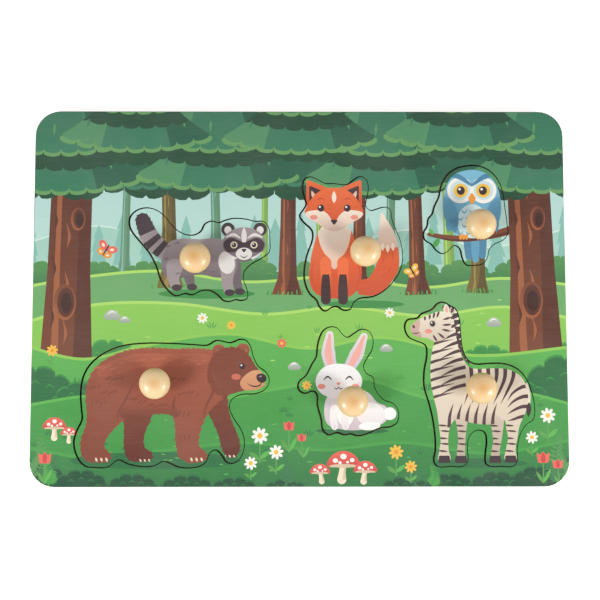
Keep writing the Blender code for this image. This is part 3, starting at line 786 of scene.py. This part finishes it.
def keptBack(loop, i, gap):
    ahead = (loop[(i + 1) % len(loop)] - loop[i]).normalized()
    behind = (loop[i] - loop[i - 1]).normalized()
    side = Vector((-(ahead + behind).y, (ahead + behind).x)).normalized()
    return loop[i] + side * gap / max(abs(side.dot(Vector((-ahead.y, ahead.x)))), 0.5)


def cutLoops(node, gap):
    # The outlines of a node's flat top in millimetres, kept back by the gap: its edge, anticlockwise, and its
    # holes, clockwise
    mesh = bmesh.new()
    mesh.from_mesh(nodes[node].data)
    bmesh.ops.remove_doubles(mesh, verts=mesh.verts, dist=1e-6)
    level = max(vert.co.z for vert in mesh.verts)
    following = {}
    for face in mesh.faces:
        if face.normal.z > 0.99 and abs(face.calc_center_median().z - level) < 1e-5:
            for corner in face.loops:
                if corner.link_loop_radial_next.face.normal.z < 0.99:
                    following[corner.vert] = corner.link_loop_next.vert
    loops = []
    while following:
        vert, after = following.popitem()
        ring = [vert]
        while after in following:
            ring.append(after)
            after = following.pop(after)
        flat = [vert.co.xy * 1000 for vert in ring]
        loops.append([keptBack(flat, i, gap) for i in range(len(flat))])
    mesh.free()
    loops.sort(key=lambda loop: -abs(area(loop)))
    return loops, level


def reachOf(loop, margin=0):
    # The lowest and highest x and y
    across, up = [point.x for point in loop], [point.y for point in loop]
    return min(across) - margin, max(across) + margin, min(up) - margin, max(up) + margin


def ofKind(items, kind):
    return [item for item in items if isinstance(item, kind)]


def addPiece(name, mesh, material):
    data = bpy.data.meshes.new(name)
    mesh.to_mesh(data)
    mesh.free()
    piece = bpy.data.objects.new(name, data)
    bpy.context.scene.collection.objects.link(piece)
    data.materials.append(material)
    return piece


def printOn(name, shapes, node, body, material):
    # Every face of the cut-up sheet takes the ink of the topmost shape over it
    gap, ease = printedFace["edgeGap"], printedFace["rimEase"] if body == "board" else 0
    loops, level = cutLoops(node, gap)
    if ease:
        loops[0] = cutLoops(node, 0)[0][0]
    lowX, highX, lowY, highY = reachOf(loops[0], ease)
    shown = []
    for shape in shapes:
        left, right, bottom, top = reachOf(shape["loop"])
        if right > lowX and left < highX and top > lowY and bottom < highY:
            shown.append(shape)
    points, outlines = [], []
    for loop in loops + [shape["loop"] for shape in shown]:
        outlines.append(list(range(len(points), len(points) + len(loop))))
        points += loop if area(loop) > 0 else loop[::-1]
    corners, _, faces, _, _, owners = delaunay_2d_cdt(points, [], outlines, 1, 1e-5)
    first = len(loops)
    places = {id(shape): i + first for i, shape in enumerate(shown)}
    hosts = [shape["hosts"] and {places.get(id(host)) for host in shape["hosts"]} for shape in shown]
    mesh = bmesh.new()
    inkLayer = mesh.loops.layers.float_color.new("ink")
    mapLayer = mesh.loops.layers.uv.new("OFBake")
    thickness = printedFace["thickness"]
    top = level + printedFace["lift"] + thickness
    verts = [mesh.verts.new((point.x / 1000, point.y / 1000, top)) for point in corners]
    for face, owner in zip(faces, owners):
        inside = set(owner)
        if 0 not in inside or any(hole in inside for hole in range(1, first)):
            continue
        for place in sorted((place for place in inside if place >= first), reverse=True):
            if hosts[place - first] is None or hosts[place - first] & inside:
                break
        shape = shown[place - first]
        try:
            made = mesh.faces.new([verts[i] for i in face])
        except ValueError:
            continue   # a face that is there already
        for corner in made.loops:
            share = ((corner.vert.co.xy * 1000).dot(shape["ahead"]) - shape["low"]) / shape["span"]
            corner[inkLayer] = (*shape["ink"].lerp(shape["fade"], min(max(share, 0), 1)), 1)
    bmesh.ops.delete(mesh, geom=[vert for vert in mesh.verts if not vert.link_faces], context="VERTS")
    upper = set(mesh.faces)
    rim = [edge for edge in mesh.edges if edge.is_boundary]
    inkAt, outward = {}, {}
    for edge in rim:
        corner = edge.link_loops[0]
        along = corner.link_loop_next.vert.co - corner.vert.co
        for vert in edge.verts:
            outward[vert] = outward.get(vert, Vector((0, 0))) + Vector((along.y, -along.x)).normalized()
        for corner in edge.link_faces[0].loops:
            inkAt[corner.vert.co.xy.to_tuple(7)] = corner[inkLayer].copy()
    if ease:
        # The board's print runs over its eased rim, and back under itself
        edges, ahead = [], max(rim, key=lambda edge: edge.verts[0].co.x)
        while ahead:
            edges.append(ahead)
            near = [edge for vert in ahead.verts for edge in vert.link_edges if edge.is_boundary]
            ahead = next((edge for edge in near if edge not in edges[-2:] + edges[:1]), None)
        rim = [edge for edge in rim if edge not in edges]
        slope = {vert: outward[vert].normalized() * ease / 1000 for edge in edges for vert in edge.verts}
        for out, down in ((1, ease / 1000), (0, thickness), (-1, -ease / 1000)):
            made = bmesh.ops.extrude_edge_only(mesh, edges=edges)["geom"]
            edges = [edge for edge in ofKind(made, bmesh.types.BMEdge) if edge.is_boundary]
            under = {}
            for vert in ofKind(made, bmesh.types.BMVert):
                near = [edge.other_vert(vert) for edge in vert.link_edges]
                above = next(other for other in near if other in slope)
                under[vert] = slope[above]
                ink = inkAt[above.co.xy.to_tuple(7)]
                vert.co = above.co + (slope[above] * out).to_3d() - Vector((0, 0, down))
                inkAt[vert.co.xy.to_tuple(7)] = ink
            slope = under
    walls = bmesh.ops.extrude_edge_only(mesh, edges=rim)["geom"]
    bmesh.ops.translate(mesh, verts=ofKind(walls, bmesh.types.BMVert), vec=(0, 0, -thickness))
    rim = [edge for edge in mesh.edges if edge.is_boundary]
    filled = bmesh.ops.triangle_fill(mesh, edges=rim, use_dissolve=False)["geom"]
    below = set(ofKind(filled, bmesh.types.BMFace))
    bmesh.ops.recalc_face_normals(mesh, faces=mesh.faces)
    strip = printedFace["bareStrip"]
    for face in mesh.faces:
        for corner in face.loops:
            place = corner.vert.co * 1000
            up = (place.y - lowY) / (highY - lowY)
            up = up * (strip - printedFace["mapGap"]) if face in below else strip + (1 - strip) * up
            corner[mapLayer].uv = ((place.x - lowX) / (highX - lowX), up)
            if face not in upper:
                corner[inkLayer] = inkAt[corner.vert.co.xy.to_tuple(7)]
    piece = addPiece(name, mesh, material)
    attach(piece, body)
    print(name, "printed:", len(shown), "shapes,", len(piece.data.polygons), "faces")


# Shader helpers

def addNode(tree, kind, values=None, **settings):
    made = tree.nodes.new("ShaderNode" + kind)
    made.location = (200 * (len(tree.nodes) % 9), -260 * (len(tree.nodes) // 9))
    for key, value in settings.items():
        setattr(made, key, value)
    for key, value in (values or {}).items():
        if isinstance(value, bpy.types.NodeSocket):
            tree.links.new(value, made.inputs[key])
        else:
            made.inputs[key].default_value = value
    return made


def calc(tree, operation, first, second=0.0, third=0.0, clamp=False):
    values = {0: first, 1: second, 2: third}
    return addNode(tree, "Math", values, operation=operation, use_clamp=clamp).outputs[0]


def paint(red, green, blue):
    return (linear(red), linear(green), linear(blue), 1)


def blend(tree, share, first, second, how="MIX"):
    return addNode(tree, "Mix", {0: share, 6: first, 7: second}, data_type="RGBA", blend_type=how).outputs[2]


def tint(tree, colour, mask, over, strength, how="MIX"):
    # Lays a second colour over the first, where the mask says
    return blend(tree, calc(tree, "MULTIPLY", mask, strength), colour, paint(*over), how)


def spread(tree, value, low, high, toLow=0.0, toHigh=1.0):
    values = {0: value, 1: low, 2: high, 3: toLow, 4: toHigh}
    return addNode(tree, "MapRange", values, interpolation_type="SMOOTHSTEP").outputs[0]


def noise(tree, place, scale, detail, **more):
    return addNode(tree, "TexNoise", {"Vector": place, "Scale": scale, "Detail": detail, **more}).outputs[0]


def scaled(tree, place, *factors):
    return addNode(tree, "VectorMath", {0: place, 1: factors}, operation="MULTIPLY").outputs[0]


def split(tree, place):
    return addNode(tree, "SeparateXYZ", {0: place}).outputs


def relief(tree, shader, height, strength, distance):
    bump = addNode(tree, "Bump", {"Height": height, "Strength": strength, "Distance": distance})
    tree.links.new(bump.outputs[0], shader["Normal"])


def newGroup(name, inputs, outputs):
    # An input without a value is a place. The others, and all the outputs, are numbers.
    tree = bpy.data.node_groups.new(name, "ShaderNodeTree")
    for label, value in inputs.items():
        kind = "NodeSocketVector" if value is None else "NodeSocketFloat"
        socket = tree.interface.new_socket(name=label, in_out="INPUT", socket_type=kind)
        if value is not None:
            socket.default_value = value
    for label in outputs:
        tree.interface.new_socket(name=label, in_out="OUTPUT", socket_type="NodeSocketFloat")
    return tree, tree.nodes.new("NodeGroupInput").outputs, tree.nodes.new("NodeGroupOutput").inputs


def useGroup(tree, group, place, **values):
    named = {key.title(): value for key, value in values.items()}
    return addNode(tree, "Group", {"Place": place, **named}, node_tree=group).outputs


def makeWoodGrain():
    # Long fibres with darker pores and broad bands, running along the given vector's X
    inputs = {"Place": None, "Stretch": 14.0, "Fibres": 900.0, "Bands": 45.0}
    tree, given, out = newGroup("wood_grain", inputs, ("Fibre", "Band", "Pore"))
    apart = split(tree, given["Place"])
    along = calc(tree, "DIVIDE", apart[0], given["Stretch"])
    place = addNode(tree, "CombineXYZ", {0: along, 1: apart[1], 2: apart[2]}).outputs[0]
    fibre = noise(tree, place, given["Fibres"], 4.0, Roughness=0.6)
    band = noise(tree, place, given["Bands"], 3.0, Distortion=0.6)
    pore = noise(tree, place, calc(tree, "MULTIPLY", given["Fibres"], 2.2), 1.0)
    tree.links.new(spread(tree, fibre, 0.3, 0.7), out["Fibre"])
    tree.links.new(spread(tree, band, 0.35, 0.65), out["Band"])
    tree.links.new(spread(tree, pore, 0.62, 0.72), out["Pore"])
    return tree


def makeHandling():
    # Soft blotches and fine specks of use
    inputs = {"Place": None, "Blotches": 30.0, "Specks": 1400.0}
    tree, given, out = newGroup("handling_wear", inputs, ("Blotch", "Speck"))
    blotch = noise(tree, given["Place"], given["Blotches"], 5.0, Roughness=0.55)
    speck = noise(tree, given["Place"], given["Specks"], 2.0)
    tree.links.new(spread(tree, blotch, 0.3, 0.7), out["Blotch"])
    tree.links.new(spread(tree, speck, 0.66, 0.74), out["Speck"])
    return tree


def makePlies():
    # Plywood seen from its edge: veneers by height, the grain of each across the last, and thin glue lines
    inputs = {"Place": None, "Bottom": 0.0033, "Thickness": 0.005, "Veneers": 3.0}
    tree, given, out = newGroup("veneer_edge", inputs, ("Cross", "Glue", "Fibre"))
    waver = noise(tree, given["Place"], 60.0, 2.0)
    height = calc(tree, "MULTIPLY_ADD", waver, 0.00035, split(tree, given["Place"])[2])
    height = calc(tree, "DIVIDE", calc(tree, "SUBTRACT", height, given["Bottom"]), given["Thickness"])
    ply = calc(tree, "MULTIPLY", height, given["Veneers"])
    inPly = calc(tree, "FRACT", ply)
    cross = calc(tree, "GREATER_THAN", calc(tree, "FRACT", calc(tree, "MULTIPLY", ply, 0.5)), 0.5)
    nearJoint = calc(tree, "MINIMUM", inPly, calc(tree, "SUBTRACT", 1.0, inPly))
    fibre = noise(tree, scaled(tree, given["Place"], 1, 1, 7), 700.0, 3.0, Roughness=0.65)
    tree.links.new(cross, out["Cross"])
    tree.links.new(spread(tree, nearJoint, 0.02, 0.07, 1.0, 0.0), out["Glue"])
    tree.links.new(spread(tree, fibre, 0.32, 0.68), out["Fibre"])
    return tree


woodGrain, handlingWear, veneerEdge = makeWoodGrain(), makeHandling(), makePlies()


def newMaterial(name, roughness):
    material = bpy.data.materials.new(name)
    material.use_nodes = True
    tree = material.node_tree
    shader = tree.nodes["Principled BSDF"].inputs
    shader["Roughness"].default_value = roughness
    return material, tree, shader, addNode(tree, "TexCoord").outputs["Object"]


def makePrintMaterial():
    # Ink on sanded birch under a satin coat: the grain lifts it a little and softens its colour
    material, tree, shader, place = newMaterial("printed_ink", printedFace["roughness"])
    ink = addNode(tree, "Attribute", attribute_name="ink").outputs["Color"]
    grain = useGroup(tree, woodGrain, place, stretch=16.0, fibres=1500.0, bands=60.0)
    blotch = useGroup(tree, handlingWear, place, blotches=38.0, specks=2300.0)["Blotch"]
    darker = blend(tree, printedFace["grain"], ink, paint(96, 66, 48), "MULTIPLY")
    lighter = blend(tree, printedFace["grain"] * 0.7, ink, paint(255, 244, 224))
    coloured = blend(tree, grain["Fibre"], darker, lighter)
    coloured = tint(tree, coloured, blotch, *printedFace["blotch"])
    coloured = tint(tree, coloured, grain["Pore"], *printedFace["pore"], "MULTIPLY")
    tree.links.new(coloured, shader["Base Color"])
    rough = printedFace["roughness"]
    tree.links.new(spread(tree, blotch, 0.0, 1.0, rough - 0.05, rough + 0.07), shader["Roughness"])
    relief(tree, shader, calc(tree, "SUBTRACT", grain["Fibre"], grain["Pore"]), 0.08, 0.00003)
    shader["Specular IOR Level"].default_value = printedFace["specular"]
    return material


cutWood = {
    "bare": (232, 204, 160),         # the flat underside
    "bareBand": (218, 184, 134),
    "bareFibre": ((196, 156, 108), 0.35),   # a colour, and how strongly it shows
    "barePore": ((150, 108, 70), 0.45),
    "veneer": (222, 186, 138),       # long grain seen on the edge
    "crossVeneer": (186, 138, 92),   # end grain seen on the edge
    "edgeFibre": ((160, 112, 70), 0.45),
    "glue": ((92, 58, 38), 0.8),
    "charAndShade": (16, 13, 8),             # where the laser went through, made near black: char together with painted shade of the narrow gaps
    "scorch": (34, 26, 16),          # the hair of bare wood between a cut and the ink
    "charredAndShaded": 0.96,                 # how black the walls of the cut-outs and the pieces' edges are: laser char, and painted shade of the narrow gaps on top of it
    "rimCharred": 0.32,              # and the board's outer edge
    "floorCharred": 0.3,
    "veneers": 3.0,
    "smooth": 0.56,                  # the roughness between the fibres, and what a fibre adds to it
    "fibreRough": 0.12,
    "outerX": 0.1335,                # the cut-outs end inside these, and the board's edge lies outside them
    "outerY": 0.0965,
}


def makeCutWood(name, charredAndShaded, edgeCharred, bottom, thickness, scorch=1.0):
    # Plywood cut by laser. Its flat sides are bare birch, and its cut sides are toasted veneers. The cut-outs'
    # walls and the pieces' edges are charred near black, which is partly painted shade of the gaps.
    material, tree, shader, place = newMaterial(name, 0.62)
    grain = useGroup(tree, woodGrain, place, stretch=18.0, fibres=1100.0, bands=42.0)
    bare = blend(tree, grain["Band"], paint(*cutWood["bare"]), paint(*cutWood["bareBand"]))
    bare = tint(tree, bare, grain["Fibre"], *cutWood["bareFibre"])
    bare = tint(tree, bare, grain["Pore"], *cutWood["barePore"])
    veneers = useGroup(tree, veneerEdge, place, bottom=bottom, thickness=thickness,
                       veneers=cutWood["veneers"])
    edge = blend(tree, veneers["Cross"], paint(*cutWood["veneer"]), paint(*cutWood["crossVeneer"]))
    edge = tint(tree, edge, veneers["Fibre"], *cutWood["edgeFibre"])
    edge = tint(tree, edge, veneers["Glue"], *cutWood["glue"])
    # How far a point stands outside the middle of the board tells the outer edge from the cut-outs' walls, whose
    # near-black char also carries painted shade
    outer = [calc(tree, "GREATER_THAN", calc(tree, "ABSOLUTE", far), limit)
             for far, limit in zip(split(tree, place), (cutWood["outerX"], cutWood["outerY"]))]
    share = calc(tree, "MULTIPLY_ADD", calc(tree, "MAXIMUM", *outer), edgeCharred - charredAndShaded, charredAndShaded)
    burn = useGroup(tree, handlingWear, place, blotches=120.0, specks=900.0)["Blotch"]
    share = calc(tree, "MULTIPLY", share, spread(tree, burn, 0.0, 1.0, 0.8, 1.1), clamp=True)
    # Painted shade: the walls inside the board go near black, as char and as the shade down in the gaps
    edge = blend(tree, share, edge, paint(*cutWood["charAndShade"]))
    upright = split(tree, addNode(tree, "NewGeometry").outputs["True Normal"])[2]
    level = calc(tree, "GREATER_THAN", calc(tree, "ABSOLUTE", upright), 0.95)
    top = calc(tree, "GREATER_THAN", upright, 0.95)
    colour = tint(tree, blend(tree, level, edge, bare), top, cutWood["scorch"], scorch)
    tree.links.new(colour, shader["Base Color"])
    rough = calc(tree, "MULTIPLY_ADD", grain["Fibre"], cutWood["fibreRough"], cutWood["smooth"])
    tree.links.new(rough, shader["Roughness"])
    relief(tree, shader, calc(tree, "MULTIPLY_ADD", veneers["Fibre"], 0.6, grain["Fibre"]), 0.35, 0.00008)
    return material


turnedKnob = {
    "steps": 64,
    # Outlines as distance from the axis and height, in millimetres from the tenon's end and from the print
    "tenon": ((0, 0), (2.6, 0), (3, 0.4)),
    "neck": ((3, 0.02), (5, 0.02), (5.2, 0.2), (5.2, 1.1), (5.1, 1.3), (4.68, 1.6), (4.46, 2.3), (4.35, 3.4),
             (4.3, 4.6), (4.36, 5.2)),
    "neckRadius": 0.0043,
    "crownRise": 0.0058,      # above the widest ring
    "underRise": 0.0037,      # from the neck to the widest ring
    "pale": (246, 218, 168),
    "tan": (228, 174, 106),
    "ring": ((206, 152, 92), 0.16),      # a colour, and how strongly it shows
    "ringScale": 5200.0,                 # radians over a metre
    "ringWaver": 0.0012,
    "fibre": ((206, 152, 92), 0.14),
    "fibreScale": 1300.0,
    "heart": (0.0004, 0.0062),           # the tan of the crown's middle fades between these distances
    "heartShare": 0.7,
    "roughness": 0.36,
    "coat": 0.3,
    "coatRoughness": 0.2,
    # How far the grain leans off the axis, in millimetres, and how much darker it is, from knob to knob
    "leans": ((-0.4, 0.3), (0.9, 1.2), (0.4, 0.2), (0.1, -0.2), (0.2, -0.3), (0.0, -0.1)),
    "shades": (0.3, 0.1, 0.12, 0.02, 0.24, 0.28),
}


def makeKnobWood(name, axis, lean, shade):
    # Turned birch whose grain runs from crown to foot: rings end on in the middle of the crown, long grain on
    # the sides, all under clear gloss lacquer
    material, tree, shader, place = newMaterial(name, turnedKnob["roughness"])
    away = (-axis.x - lean[0] * 0.001, -axis.y - lean[1] * 0.001, 0.0)
    centred = addNode(tree, "Mapping", {"Vector": place, "Location": away}).outputs[0]
    across, up, _ = split(tree, centred)
    waver = noise(tree, centred, 260.0, 3.0)
    out = calc(tree, "ADD", calc(tree, "POWER", across, 2.0), calc(tree, "POWER", up, 2.0))
    out = calc(tree, "MULTIPLY_ADD", waver, turnedKnob["ringWaver"], calc(tree, "SQRT", out))
    ring = calc(tree, "SINE", calc(tree, "MULTIPLY", out, turnedKnob["ringScale"]))
    ring = calc(tree, "MULTIPLY_ADD", ring, 0.5, 0.5)
    fibre = noise(tree, scaled(tree, centred, 1, 1, 0.08), turnedKnob["fibreScale"], 4.0, Roughness=0.6)
    fibre = spread(tree, fibre, 0.35, 0.65)
    heart = spread(tree, out, *turnedKnob["heart"], 1.0, 0.0)
    tan = calc(tree, "MULTIPLY_ADD", heart, turnedKnob["heartShare"], shade)
    colour = blend(tree, tan, paint(*turnedKnob["pale"]), paint(*turnedKnob["tan"]))
    colour = tint(tree, colour, ring, *turnedKnob["ring"])
    colour = tint(tree, colour, fibre, *turnedKnob["fibre"])
    tree.links.new(colour, shader["Base Color"])
    blotch = useGroup(tree, handlingWear, place, blotches=220.0, specks=2600.0)["Blotch"]
    rough = turnedKnob["roughness"]
    tree.links.new(spread(tree, blotch, 0.0, 1.0, rough - 0.03, rough + 0.06), shader["Roughness"])
    relief(tree, shader, fibre, 0.08, 0.00005)
    shader["Coat Weight"].default_value = turnedKnob["coat"]
    shader["Coat Roughness"].default_value = turnedKnob["coatRoughness"]
    return material


def turnKnob(name, lean, shade):
    # A chain of points from the foot to the crown, spun round the knob's axis
    low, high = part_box(name + "_knob")
    axis = knobAxes[name]
    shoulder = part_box(name + "_piece")[1].z + printedFace["lift"] + printedFace["thickness"]
    radius = (high.x - low.x) / 2
    equator = high.z - turnedKnob["crownRise"]
    profile = [(out / 1000, low.z + up / 1000) for out, up in turnedKnob["tenon"]]
    profile += [(out / 1000, shoulder + up / 1000) for out, up in turnedKnob["neck"]]
    profile.insert(3, (profile[2][0], profile[3][1]))
    drop = sqrt(1 - (turnedKnob["neckRadius"] / radius) ** 2)
    for i in range(1, 9):
        below = 1 - i / 8.5
        profile.append((radius * sqrt(1 - (drop * below) ** 2), equator - turnedKnob["underRise"] * below))
    for i in range(14):
        turn = radians(90 * i / 14)
        profile.append((radius * cos(turn) ** 0.94, equator + turnedKnob["crownRise"] * sin(turn)))
    profile.append((0, high.z))
    data = bpy.data.meshes.new(name + "_turned_knob")
    links = [(i, i + 1) for i in range(len(profile) - 1)]
    data.from_pydata([(axis.x + out, axis.y, up) for out, up in profile], links, [])
    knob = bpy.data.objects.new(name + "_turned_knob", data)
    bpy.context.scene.collection.objects.link(knob)
    bpy.ops.object.select_all(action="DESELECT")
    bpy.context.view_layer.objects.active = knob
    knob.select_set(True)
    bpy.ops.object.mode_set(mode="EDIT")
    bpy.ops.mesh.select_all(action="SELECT")
    bpy.ops.mesh.spin(steps=turnedKnob["steps"], angle=2 * pi, center=(axis.x, axis.y, 0), axis=(0, 0, 1))
    bpy.ops.mesh.select_all(action="SELECT")
    bpy.ops.mesh.remove_doubles(threshold=0.000002)
    bpy.ops.mesh.normals_make_consistent(inside=False)
    bpy.ops.object.mode_set(mode="OBJECT")
    bpy.ops.object.shade_smooth_by_angle(angle=radians(40))
    data.materials.append(makeKnobWood(name + "_knob_birch", axis, lean, shade))
    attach(knob, name)
    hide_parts(name + "_knob")


glueLine = {
    "inset": 0.6,             # kept back from the boards' edge, in millimetres
    "holeInset": 0.5,         # and from the cut-outs
    "clear": 0.00001,         # of the board above and the one below
    "roughness": 0.5,
    "colour": (196, 158, 104),
    "blotch": (156, 112, 66),
}


def makeGlueLine():
    # The dried glue between the two boards, with the six cut-outs left open
    loops = cutLoops("backing_board", glueLine["inset"])[0][:1]
    loops += cutLoops("top_board", glueLine["holeInset"])[0][1:]
    low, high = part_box("backing_board")[1].z + glueLine["clear"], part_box("top_board")[0].z - glueLine["clear"]
    mesh = bmesh.new()
    for loop in loops:
        ring = [mesh.verts.new((point.x / 1000, point.y / 1000, high)) for point in loop]
        for a, b in zip(ring, ring[1:] + ring[:1]):
            mesh.edges.new((a, b))
    upper = bmesh.ops.triangle_fill(mesh, edges=mesh.edges[:], use_dissolve=False)["geom"]
    copied = bmesh.ops.extrude_face_region(mesh, geom=ofKind(upper, bmesh.types.BMFace))["geom"]
    bmesh.ops.translate(mesh, verts=ofKind(copied, bmesh.types.BMVert), vec=(0, 0, low - high))
    bmesh.ops.recalc_face_normals(mesh, faces=mesh.faces)
    material, tree, shader, place = newMaterial("dried_glue", glueLine["roughness"])
    blotch = useGroup(tree, handlingWear, place, blotches=90.0, specks=1200.0)["Blotch"]
    colour = blend(tree, blotch, paint(*glueLine["colour"]), paint(*glueLine["blotch"]))
    tree.links.new(colour, shader["Base Color"])
    piece = addPiece("glue_line", mesh, material)
    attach(piece, "board")


def dress(node, material):
    nodes[node].data.materials.clear()
    nodes[node].data.materials.append(material)


branch = drawWood()
wood = takePicture()
printMaterial = makePrintMaterial()
printOn("board_print", wood, "top_board", "board", printMaterial)
drawAnimal = {"raccoon": drawRaccoon, "fox": drawFox, "owl": drawOwl, "bear": drawBear, "rabbit": drawRabbit,
              "zebra": drawZebra}
branchIds = [id(shape) for shape in branch]
for name in animalNames:
    drawAnimal[name]()
    # The owl piece has a branch of its own
    behind = [shape for shape in wood if name != "owl" or id(shape) not in branchIds]
    shapes = behind + takePicture(knobAxes[name].xy * 1000)
    printOn(name + "_print", shapes, name + "_piece", name, printMaterial)

bottom, top = (corner.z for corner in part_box("top_board"))
# Painted shade: the cut-outs' walls and all the pieces' edges take near-black char for the shade in the gaps,
# while the board's outer edge keeps lighter char
charredAndShaded, rimCharred = cutWood["charredAndShaded"], cutWood["rimCharred"]
dress("top_board", makeCutWood("charred_and_shaded_plywood", charredAndShaded, rimCharred, bottom, top - bottom))
pieceWood = makeCutWood("charred_and_shaded_piece_plywood", charredAndShaded, charredAndShaded, bottom, top - bottom)
for name in animalNames:
    dress(name + "_piece", pieceWood)
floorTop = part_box("backing_board")[1].z
dress("backing_board", makeCutWood("backing_plywood", cutWood["floorCharred"], rimCharred, 0.0, floorTop,
    0.0))
makeGlueLine()
print("plywood dressed")
for name, lean, shade in zip(animalNames, turnedKnob["leans"], turnedKnob["shades"]):
    turnKnob(name, lean, shade)
print("knobs turned")


# Camera, lamps and floor

studio = {
    "lens": 77.52,
    "cameraAt": (-0.0061, -0.0712, 0.7237),
    "cameraBack": (-0.0087, -0.0964, 0.9953),
    "cameraRight": (1.0, -0.0009, 0.0086),
    "world": 0.38,
    "lamps": (((-0.86, -0.5), 57, 5.6), ((0.885, -0.466), 59, 5.9)),   # bearing, degrees from above, watts
    "lampSize": 0.3,
    "lampFar": 1.0,
    "paperGlow": 0.7,
    "paperColour": (240, 240, 240),
    "paperRoughness": 0.9,
    "paperSize": 6,
    "paperDrop": 0.0002,      # below the board's underside
}

camera = bpy.data.objects.new("camera", bpy.data.cameras.new("camera"))
bpy.context.scene.collection.objects.link(camera)
camera.data.lens = studio["lens"]
camera.data.sensor_width = 36
camera.data.clip_start = 0.01
camera.location = studio["cameraAt"]
back = Vector(studio["cameraBack"]).normalized()
up = back.cross(Vector(studio["cameraRight"])).normalized()
camera.rotation_mode = "QUATERNION"
camera.rotation_quaternion = Matrix((up.cross(back), up, back)).transposed().to_quaternion()
bpy.context.scene.camera = camera

for i, (bearing, fromAbove, power) in enumerate(studio["lamps"]):
    lamp = bpy.data.objects.new("lamp_%d" % i, bpy.data.lights.new("lamp_%d" % i, "AREA"))
    bpy.context.scene.collection.objects.link(lamp)
    lamp.data.shape = "DISK"
    lamp.data.size = studio["lampSize"]
    lamp.data.energy = power
    flat = Vector(bearing).normalized() * sin(radians(fromAbove))
    lamp.location = Vector((flat.x, flat.y, cos(radians(fromAbove)))) * studio["lampFar"]
    lamp.rotation_mode = "QUATERNION"
    lamp.rotation_quaternion = lamp.location.to_track_quat("Z", "Y")

world = bpy.data.worlds.new("studio")
bpy.context.scene.world = world
world.use_nodes = True
tree = world.node_tree
rays = addNode(tree, "LightPath").outputs
seen = calc(tree, "MAXIMUM", rays["Is Glossy Ray"], rays["Is Transmission Ray"])
seen = calc(tree, "MAXIMUM", rays["Is Camera Ray"], seen)
background = tree.nodes["Background"].inputs
background["Color"].default_value = (1, 1, 1, 1)
tree.links.new(calc(tree, "MULTIPLY_ADD", seen, 1 - studio["world"], studio["world"]), background["Strength"])

bpy.ops.object.select_all(action="DESELECT")
bpy.ops.mesh.primitive_plane_add(size=studio["paperSize"], location=(0, 0, -studio["paperDrop"]))
floor = bpy.context.object
floor.name = "floor"
material, tree, shader, place = newMaterial("pale_floor", studio["paperRoughness"])
shader["Base Color"].default_value = paint(*studio["paperColour"])
# The camera sees the floor as white paper with only a trace of the board's shadow
shader["Emission Color"].default_value = (1, 1, 1, 1)
rays = addNode(tree, "LightPath").outputs
seen = calc(tree, "MAXIMUM", rays["Is Camera Ray"], rays["Is Glossy Ray"])
tree.links.new(calc(tree, "MULTIPLY", seen, studio["paperGlow"]), shader["Emission Strength"])
floor.data.materials.append(material)

bpy.context.scene.view_settings.view_transform = "Standard"
print("studio set up")

bpy.context.view_layer.update()
